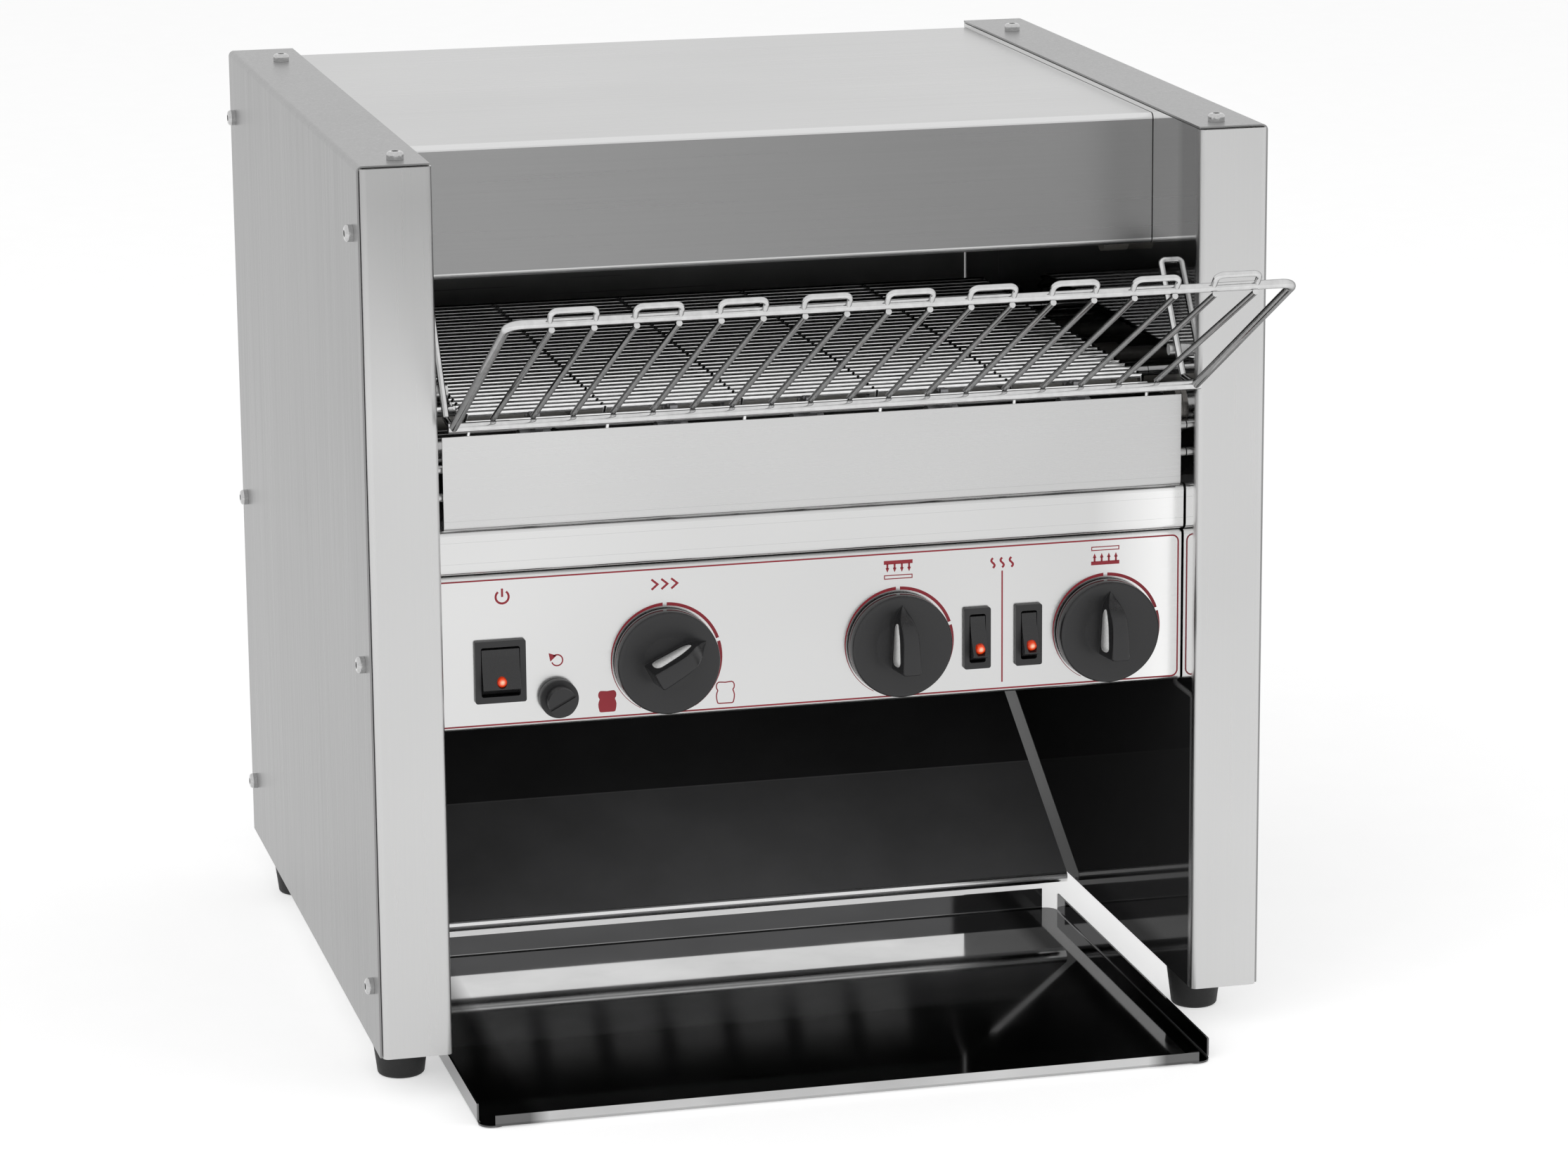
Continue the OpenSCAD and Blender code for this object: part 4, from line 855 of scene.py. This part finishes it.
def build_knob(dials, key, black, white):
    """One knob: its dial, which stands for the node, and its white leaf."""
    node, spindle, body, turn = KNOBS[key]
    place = knob_place(spindle, node, turn)
    low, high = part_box(node)
    dish = dials.disc_thickness - DISH_DEPTH
    bm = build_dial(dials, place, (high.z - low.z) / 2 * 0.995, dish)
    dial = new_piece(key + "_dial", bm, black, body)
    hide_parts(node)
    leaf = build_leaf(dials, place, dish)
    inlay = new_piece(key + "_inlay", leaf, white, body)
    thicken(inlay, LEAF_THICK)


# ------------------------------------------------------------------ print

PRINT_LIFT, PRINT_THICK = 0.06 * MM, 0.04 * MM
SCALE_START, SCALE_END, SCALE_FULL = -152.0, 149.0, 150.0
SCALE_PARTS = ((SCALE_START, -2.1), (2.1, 71.0), (74.6, SCALE_END))
# Border: distances from the fascia's right end, lower and upper edge, and its corner radius
BORDER_RIGHT, BORDER_LOW, BORDER_HIGH, BORDER_ROUND = 1.7 * MM, 2.6 * MM, 3.0 * MM, 3.4 * MM
# Middles of the marks and heights above the worktop
DIVIDER_Z, DIVIDER_LENGTH = 0.2260, 0.0601
SLICE_SIZE = (0.0096, 0.0114)
DARK_SLICE, LIGHT_SLICE = (-0.1110, 0.2008), (-0.0484, 0.2010)
UPPER_HEAT_MARK, LOWER_HEAT_MARK = (0.2 * MM, 0.2604), (-0.1 * MM, 0.2605)
POWER_MARK_X, POWER_RING_Z, POWER_BAR_Z = 2.0 * MM, 0.2598, 0.2620
SPEED_MARK_Z, SPEED_MARK_STEP = 0.2610, 5.2 * MM
WAVE_Z, WAVE_STEP = 0.2604, 5.0 * MM
RESET_MARK_Z = 0.2245
MARK_LINE = 1.1 * MM
# Half outline of a slice of bread, from the middle of its foot to the middle of its top
SLICE = (
    (0.00, -0.500), (0.36, -0.500), (0.43, -0.470), (0.455, -0.40), (0.49, -0.26), (0.50, -0.12),
    (0.47, 0.00), (0.425, 0.09), (0.43, 0.14), (0.48, 0.20), (0.50, 0.28), (0.49, 0.38),
    (0.44, 0.46), (0.36, 0.500), (0.22, 0.495), (0.00, 0.475),
)


class Stencil:
    """Flat ink shapes in front of the fascia, drawn in (x, z)."""

    def __init__(self, y):
        self.bm, self.y = bmesh.new(), y

    def area(self, points):
        self.bm.faces.new([self.bm.verts.new((x, self.y, z)) for x, z in points])

    def bar(self, x, z, w, h):
        self.area([(x + i * w / 2, z + k * h / 2) for i, k in ((-1, -1), (1, -1), (1, 1), (-1, 1))])

    def stroke(self, points, width, closed=False):
        """A line of one width along points."""
        n = len(points)
        left, right = [], []
        for i, (x, z) in enumerate(points):
            before = points[i - 1] if i > 0 else (points[-1] if closed else points[0])
            after = points[i + 1] if i < n - 1 else (points[0] if closed else points[-1])
            a, b = Vector((x - before[0], z - before[1])), Vector((after[0] - x, after[1] - z))
            a = a.normalized() if a.length > 1e-9 else b.normalized()
            b = b.normalized() if b.length > 1e-9 else a
            way = (a + b).normalized()
            side = Vector((-way.y, way.x))
            reach = width / 2 / max(0.4, math.sqrt(max(0.0, (1 + a.dot(b)) / 2)))
            left.append(self.bm.verts.new((x + side.x * reach, self.y, z + side.y * reach)))
            right.append(self.bm.verts.new((x - side.x * reach, self.y, z - side.y * reach)))
        for i in range(n if closed else n - 1):
            j = (i + 1) % n
            self.bm.faces.new((left[i], right[i], right[j], left[j]))

    def arc(self, cx, cz, radius, start, end, width, steps=24):
        """Arc by clock angles in degrees, clockwise from 12."""
        points = []
        for k in range(steps + 1):
            a = math.radians(start + (end - start) * k / steps)
            points.append((cx + radius * math.sin(a), cz + radius * math.cos(a)))
        self.stroke(points, width)


def border(x0, x1, z0, z1, r, steps=8):
    """Border line, open at its left end, with rounded right corners."""
    points = [(x0, z1)]
    for cz, start in ((z1 - r, 0), (z0 + r, 90)):
        for k in range(steps + 1):
            a = math.radians(start + 90 * k / steps)
            points.append((x1 - r + r * math.sin(a), cz + r * math.cos(a)))
    return points + [(x0, z0)]


def draw_scale(stencil, cx, cz, ink):
    """Scale round a dial, growing clockwise, with gaps at the top and at two o'clock."""
    for first, last in SCALE_PARTS:
        steps = max(6, int((last - first) / 4))
        inner, outer = [], []
        for k in range(steps + 1):
            degrees = first + (last - first) * k / steps
            grown = min(1.0, (degrees - SCALE_START) / SCALE_FULL)
            width = ink.scale_start + (ink.scale_end - ink.scale_start) * grown * grown
            r = ink.scale_radius + 0.3 * MM * grown
            sin, cos = math.sin(math.radians(degrees)), math.cos(math.radians(degrees))
            inner.append((cx + r * sin, stencil.y, cz + r * cos))
            outer.append((cx + (r + width) * sin, stencil.y, cz + (r + width) * cos))
        ribbon(stencil.bm, inner, outer)


def slice_outline(cx, cz):
    """A slice of bread: two lobes over a waist and a round-cornered body."""
    w, h = SLICE_SIZE
    right = [(cx + w * x, cz + h * z) for x, z in SLICE]
    left = [(cx - w * x, cz + h * z) for x, z in reversed(SLICE[1:-1])]
    return right + left


def draw_heat(stencil, x, z, upper):
    """Heat arrows between the element and the bread: from above or from below."""
    w, sign = 15.5 * MM, -1 if upper else 1
    solid, hollow = z - sign * 3.9 * MM, z + sign * 3.9 * MM
    stencil.bar(x, solid, w, 2.0 * MM)
    box = ((-1, -1), (1, -1), (1, 1), (-1, 1))
    outline = [(x + i * w * 0.48, hollow + k * 0.9 * MM) for i, k in box]
    stencil.stroke(outline, 0.5 * MM, closed=True)
    for i in range(4):
        ax = x + (i - 1.5) * 3.9 * MM
        stencil.bar(ax, z - sign * 1.9 * MM, 1.0 * MM, 2.4 * MM)
        tip, root = z + sign * 1.4 * MM, z - sign * 1.0 * MM
        stencil.area([(ax - MM, root), (ax + MM, root), (ax, tip)])


def draw_power(stencil, x):
    """Open ring with a bar in its gap."""
    stencil.arc(x, POWER_RING_Z, 3.4 * MM, 38, 322, MARK_LINE)
    stencil.bar(x, POWER_BAR_Z, MARK_LINE, 4.4 * MM)


def draw_speed(stencil, x):
    """Three arrowheads."""
    for i in (-1, 0, 1):
        cx, cz, half, rise = x + i * SPEED_MARK_STEP, SPEED_MARK_Z, 1.6 * MM, 2.7 * MM
        stencil.stroke([(cx - half, cz + rise), (cx + half, cz), (cx - half, cz - rise)], MARK_LINE)


def draw_waves(stencil, x):
    """Three rising waves of warm air."""
    for i in (-1, 0, 1):
        cx = x + i * WAVE_STEP
        wave = [
            (cx + 0.9 * MM * math.sin(k * math.pi / 6), WAVE_Z + (k - 6) * 0.44 * MM) for k in range(13)
        ]
        stencil.stroke(wave, MARK_LINE)


def draw_reset(stencil, x):
    """Round arrow."""
    z = RESET_MARK_Z
    stencil.arc(x, z, 2.9 * MM, -40, 250, 0.7 * MM)
    stencil.area([(x - 3.6 * MM, z - 0.5 * MM), (x - 0.2 * MM, z + 2.5 * MM), (x - 4.4 * MM, z + 4.0 * MM)])


# ------------------------------------------------------------------ operators


# Camera: place in metres, and yaw, pitch and roll in degrees
CAMERA_AT = (-0.6515, -2.6650, 0.8927)
CAMERA_TURN = (14.008, 13.597, 0.476)
# Painted shade at the top of each post
POST_TOP_SHADES = {"left": 0.72, "right": 0.92}
# Creases of the front panels, as heights above their lower edges
APRON_CREASES, LEDGE_CREASES = (5.3 * MM,), (6.2 * MM, 17.3 * MM)
WHITE = (1.0, 1.0, 1.0, 1.0)
FLOOR_TONE, FLOOR_GLOW, FLOOR_HALF = (0.92, 0.92, 0.92, 1.0), 0.48, 6.0
# Each light's name, place and side, in metres
LIGHTS = (("key", (-2.2, -2.4, 2.6), 4.0), ("fill", (2.8, -1.6, 1.6), 3.4))
LIT_POINT = Vector((0.0, 0.0, 0.22))


class TOASTER_OT_camera(Operator):
    """Set up the camera"""

    bl_idname = "toaster.camera"
    bl_label = "Camera"

    def execute(self, context):
        studio = context.scene.toaster_studio
        data = bpy.data.cameras.new("Camera")
        data.sensor_width, data.lens, data.clip_end = 36.0, studio.lens, 50.0
        camera = bpy.data.objects.new("Camera", data)
        context.scene.collection.objects.link(camera)
        yaw, pitch, roll = (math.radians(a) for a in CAMERA_TURN)
        level = math.cos(pitch)
        forward = Vector((math.sin(yaw) * level, math.cos(yaw) * level, -math.sin(pitch)))
        right = Vector((math.cos(yaw), -math.sin(yaw), 0.0))
        down = forward.cross(right)
        right_rolled = math.cos(roll) * right + math.sin(roll) * down
        down_rolled = -math.sin(roll) * right + math.cos(roll) * down
        turn = Matrix((right_rolled, -down_rolled, -forward)).transposed()
        camera.matrix_world = Matrix.Translation(CAMERA_AT) @ turn.to_4x4()
        context.scene.camera = camera
        return {"FINISHED"}


class TOASTER_OT_sheet_steel(Operator):
    """Finish the casing, the front panels and the polished sheets inside, with their painted light, shade
    and highlights
    """

    bl_idname = "toaster.sheet_steel"
    bl_label = "Sheet steel"

    def execute(self, context):
        steel = context.scene.toaster_steel
        # Painted shade: the side covers take the darkened cover colour
        cover = brushed_steel("Cover steel", steel.cover, steel.roughness, ALONG_Z)[0]
        dress(["side_cover_left", "side_cover_right"], cover)
        dress(["rear_panel"], rear_steel(steel))
        for side, tone in POST_TOP_SHADES.items():
            dress(["side_frame_" + side], frame_steel(steel, side, tone))
        dress(["hood"], hood_steel(steel))
        dress(["apron"], panel_steel("apron", steel.apron, 0.28, APRON_CREASES))
        dress(["ledge"], panel_steel("ledge", steel.panel, 0.20, LEDGE_CREASES))
        dress(["control_fascia"], panel_steel("control_fascia", steel.panel, 0.20))
        dress(["return_chute"], chute_sheet(steel))
        dress(["collecting_tray"], tray_sheet(steel))
        fold_highlight = rgba(steel.fold_highlight)
        # Painted shade: the control box and the upper reflector take the darkened polished sheet colour
        inner = mirror_sheet("Inner sheet", rgba(steel.mirror), fold_highlight, 0.06)[0]
        dress(["control_box", "upper_reflector"], inner)
        # Painted shade on the deck plate and the rails under the belt
        deck = mirror_sheet("Deck sheet", rgba(steel.painted_shade), fold_highlight, 0.12)[0]
        dress(["deck_plate", "belt_support_rails"], deck)
        return {"FINISHED"}


class TOASTER_OT_wires(Operator):
    """Finish the loading rack and the wire belt"""

    bl_idname = "toaster.wires"
    bl_label = "Rack and belt"

    def execute(self, context):
        wire = context.scene.toaster_wire
        # Lit and shaded copies of one wire: painted light on the belt's upper run and front bend, painted
        # shade on its lower run and rear bend
        for name, level, nodes in (
            ("Rack wire", 1.0, ("loading_rack", "rack_hooks")),
            ("Lit belt wire", 1.4, ("belt_upper_run", "belt_front_bend")),
            ("Shaded belt wire", 0.4, ("belt_lower_run", "belt_rear_bend")),
        ):
            dress(nodes, bright_wire(name, rgba(wire.chrome, level), wire.roughness))
        return {"FINISHED"}


class TOASTER_OT_working_parts(Operator):
    """Finish the shafts, drive, heaters, fan and fittings"""

    bl_idname = "toaster.working_parts"
    bl_label = "Working parts"

    def execute(self, context):
        black = context.scene.toaster_dials.moulding
        turned = ground_metal("Turned steel", (0.50, 0.50, 0.50), 0.28)
        dress(["drive_shaft", "idler_shaft", "foot_bolts"], turned)
        dress(["speed_spindle", "upper_heat_spindle", "lower_heat_spindle"], turned)
        cut = ground_metal("Cut steel", (0.34, 0.34, 0.35), 0.36)
        dress(["drive_sprockets", "idler_sprockets", "motor_sprocket", "chain_wheel", "drive_chain"], cut)
        dress(["shaft_bushes"], ground_metal("Sintered bush", (0.20, 0.19, 0.18), 0.30))
        dress(["cover_screws"], ground_metal("Screw steel", (0.56, 0.56, 0.56), 0.13, size=900.0))
        # Painted shade: the quartz tubes are darkened to stand for the shade inside the toaster
        quartz = ground_metal("Quartz", (0.34, 0.33, 0.31), 0.25, 0.0, 120.0)
        dress(["upper_heaters", "lower_heaters"], quartz)
        dress(["heater_holders"], ground_metal("Ceramic", (0.20, 0.19, 0.17), 0.6, 0.0, 700.0))
        dress(["gear_motor"], ground_metal("Motor paint", (0.16, 0.17, 0.18), 0.45, 0.2, 300.0))
        dress(["fan_frame", "fan_impeller", "cable_gland"], moulding("Fan plastic", black, 0.5))
        housing = moulding("Control housing", (0.42, 0.34, 0.22), 0.5, 900.0)
        dress(["upper_heat_regulator", "lower_heat_regulator"], housing)
        dress(["speed_controller", "safety_thermostat"], housing)
        dress(["reset_button"], moulding("Button plastic", (0.45, 0.02, 0.02), 0.35))
        rubber = moulding("Foot rubber", (0.014, 0.014, 0.014), 0.62, 700.0, 0.04)
        dress(["rubber_feet"], rubber)
        return {"FINISHED"}


class TOASTER_OT_knobs(Operator):
    """Make the three control knobs with their pointers"""

    bl_idname = "toaster.knobs"
    bl_label = "Knobs"

    def execute(self, context):
        dials = context.scene.toaster_dials
        black = moulding("Knob plastic", dials.moulding, 0.36, side_roughness=0.14)
        white = moulding("Inlay plastic", dials.inlay, 0.4, 1200.0, 0.0)
        for key in KNOBS:
            build_knob(dials, key, black, white)
        return {"FINISHED"}


class TOASTER_OT_switches(Operator):
    """Finish the rocker switches, their lamps and the reset cap"""

    bl_idname = "toaster.switches"
    bl_label = "Switches"

    def execute(self, context):
        dials = context.scene.toaster_dials
        keys = ("power", "upper_heat", "lower_heat")
        bodies = [k + "_switch_body" for k in keys]
        rockers = [k + "_rocker" for k in keys]
        dress(bodies + ["reset_cap"], moulding("Switch plastic", dials.moulding, 0.42))
        dress(rockers, moulding("Rocker plastic", dials.moulding, 0.30))
        dress([k + "_lamp" for k in keys], lamp_glow())
        smooth_edges(rockers + ["reset_cap"], 0.5 * MM)
        smooth_edges(bodies, 0.3 * MM)
        return {"FINISHED"}


class TOASTER_OT_print(Operator):
    """Print the border, the dial scales and the plain symbols on the control fascia"""

    bl_idname = "toaster.print"
    bl_label = "Panel print"

    def execute(self, context):
        ink = context.scene.toaster_print
        low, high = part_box("control_fascia")
        s = Stencil(low.y - PRINT_LIFT)
        right, foot, top = high.x - BORDER_RIGHT, low.z + BORDER_LOW, high.z - BORDER_HIGH
        s.stroke(border(low.x, right, foot, top, BORDER_ROUND), ink.line)
        speed, upper, lower = (middle(spindle) for _, spindle, _, _ in KNOBS.values())
        for centre in (speed, upper, lower):
            draw_scale(s, centre.x, centre.z, ink)
        divider = (upper.x + lower.x) / 2
        s.bar(divider, DIVIDER_Z, ink.line, DIVIDER_LENGTH)
        s.area(slice_outline(*DARK_SLICE))
        s.stroke(slice_outline(*LIGHT_SLICE), 0.6 * MM, closed=True)
        for centre, (shift, z) in ((upper, UPPER_HEAT_MARK), (lower, LOWER_HEAT_MARK)):
            draw_heat(s, centre.x + shift, z, centre is upper)
        draw_power(s, middle("power_rocker").x + POWER_MARK_X)
        draw_speed(s, speed.x)
        draw_waves(s, divider)
        draw_reset(s, middle("reset_cap").x)
        red = ground_metal("Ink", ink.ink, 0.45, 0.0, 2500.0, 0.12)
        piece = new_piece("panel_print", s.bm, red, "casing", smooth=False)
        thicken(piece, PRINT_THICK)
        return {"FINISHED"}


class TOASTER_OT_studio(Operator):
    """Build the floor, the white surroundings and the soft lights"""

    bl_idname = "toaster.studio"
    bl_label = "Studio"

    def execute(self, context):
        scene, studio = context.scene, context.scene.toaster_studio
        bm = bmesh.new()
        bmesh.ops.create_grid(bm, x_segments=8, y_segments=8, size=FLOOR_HALF)
        mesh = bpy.data.meshes.new("floor")
        bm.to_mesh(mesh)
        bm.free()
        floor = bpy.data.objects.new("floor", mesh)
        scene.collection.objects.link(floor)
        mesh.materials.append(floor_material())
        world = bpy.data.worlds.new("Surroundings")
        scene.world = world
        world.use_nodes = True
        w = Tree(world.node_tree)
        back = next(n for n in w.nodes if n.type == "BACKGROUND")
        back.inputs["Color"].default_value = WHITE
        w.plug(back.inputs["Strength"], w.ramp(seen_directly(w), 0.0, 1.0, studio.ambient, 1.0))
        for (name, place, side), power in zip(LIGHTS, (studio.key_power, studio.fill_power)):
            light = bpy.data.lights.new(name, "AREA")
            light.size, light.energy = side, power
            obj = bpy.data.objects.new(name, light)
            scene.collection.objects.link(obj)
            obj.visible_glossy = False
            obj.location = place
            obj.rotation_euler = (LIT_POINT - Vector(place)).to_track_quat("-Z", "Y").to_euler()
        scene.view_settings.view_transform = "Standard"
        return {"FINISHED"}


STEPS = (
    TOASTER_OT_camera,
    TOASTER_OT_sheet_steel,
    TOASTER_OT_wires,
    TOASTER_OT_working_parts,
    TOASTER_OT_knobs,
    TOASTER_OT_switches,
    TOASTER_OT_print,
    TOASTER_OT_studio,
)


class TOASTER_PT_panel(Panel):
    """Settings and steps of the toaster's finish"""

    bl_idname = "TOASTER_PT_panel"
    bl_label = "Toaster"
    bl_space_type = "VIEW_3D"
    bl_region_type = "UI"
    bl_category = "Toaster"

    def draw(self, context):
        for step in STEPS:
            self.layout.operator(step.bl_idname)
        for name, group in SETTINGS.items():
            box = self.layout.box()
            for prop in group.__annotations__:
                box.prop(getattr(context.scene, name), prop)


SETTINGS = {
    "toaster_steel": ToasterSteel,
    "toaster_wire": ToasterWire,
    "toaster_dials": ToasterDials,
    "toaster_print": ToasterPrint,
    "toaster_studio": ToasterStudio,
}


def register():
    for cls in (*SETTINGS.values(), *STEPS, TOASTER_PT_panel):
        bpy.utils.register_class(cls)
    for name, group in SETTINGS.items():
        setattr(bpy.types.Scene, name, PointerProperty(type=group))


def unregister():
    for name in SETTINGS:
        delattr(bpy.types.Scene, name)
    for cls in (TOASTER_PT_panel, *reversed(STEPS), *reversed(tuple(SETTINGS.values()))):
        bpy.utils.unregister_class(cls)


def main():
    register()
    for step in STEPS:
        group, name = step.bl_idname.split(".")
        getattr(getattr(bpy.ops, group), name)()


if __name__ == "__main__":
    main()
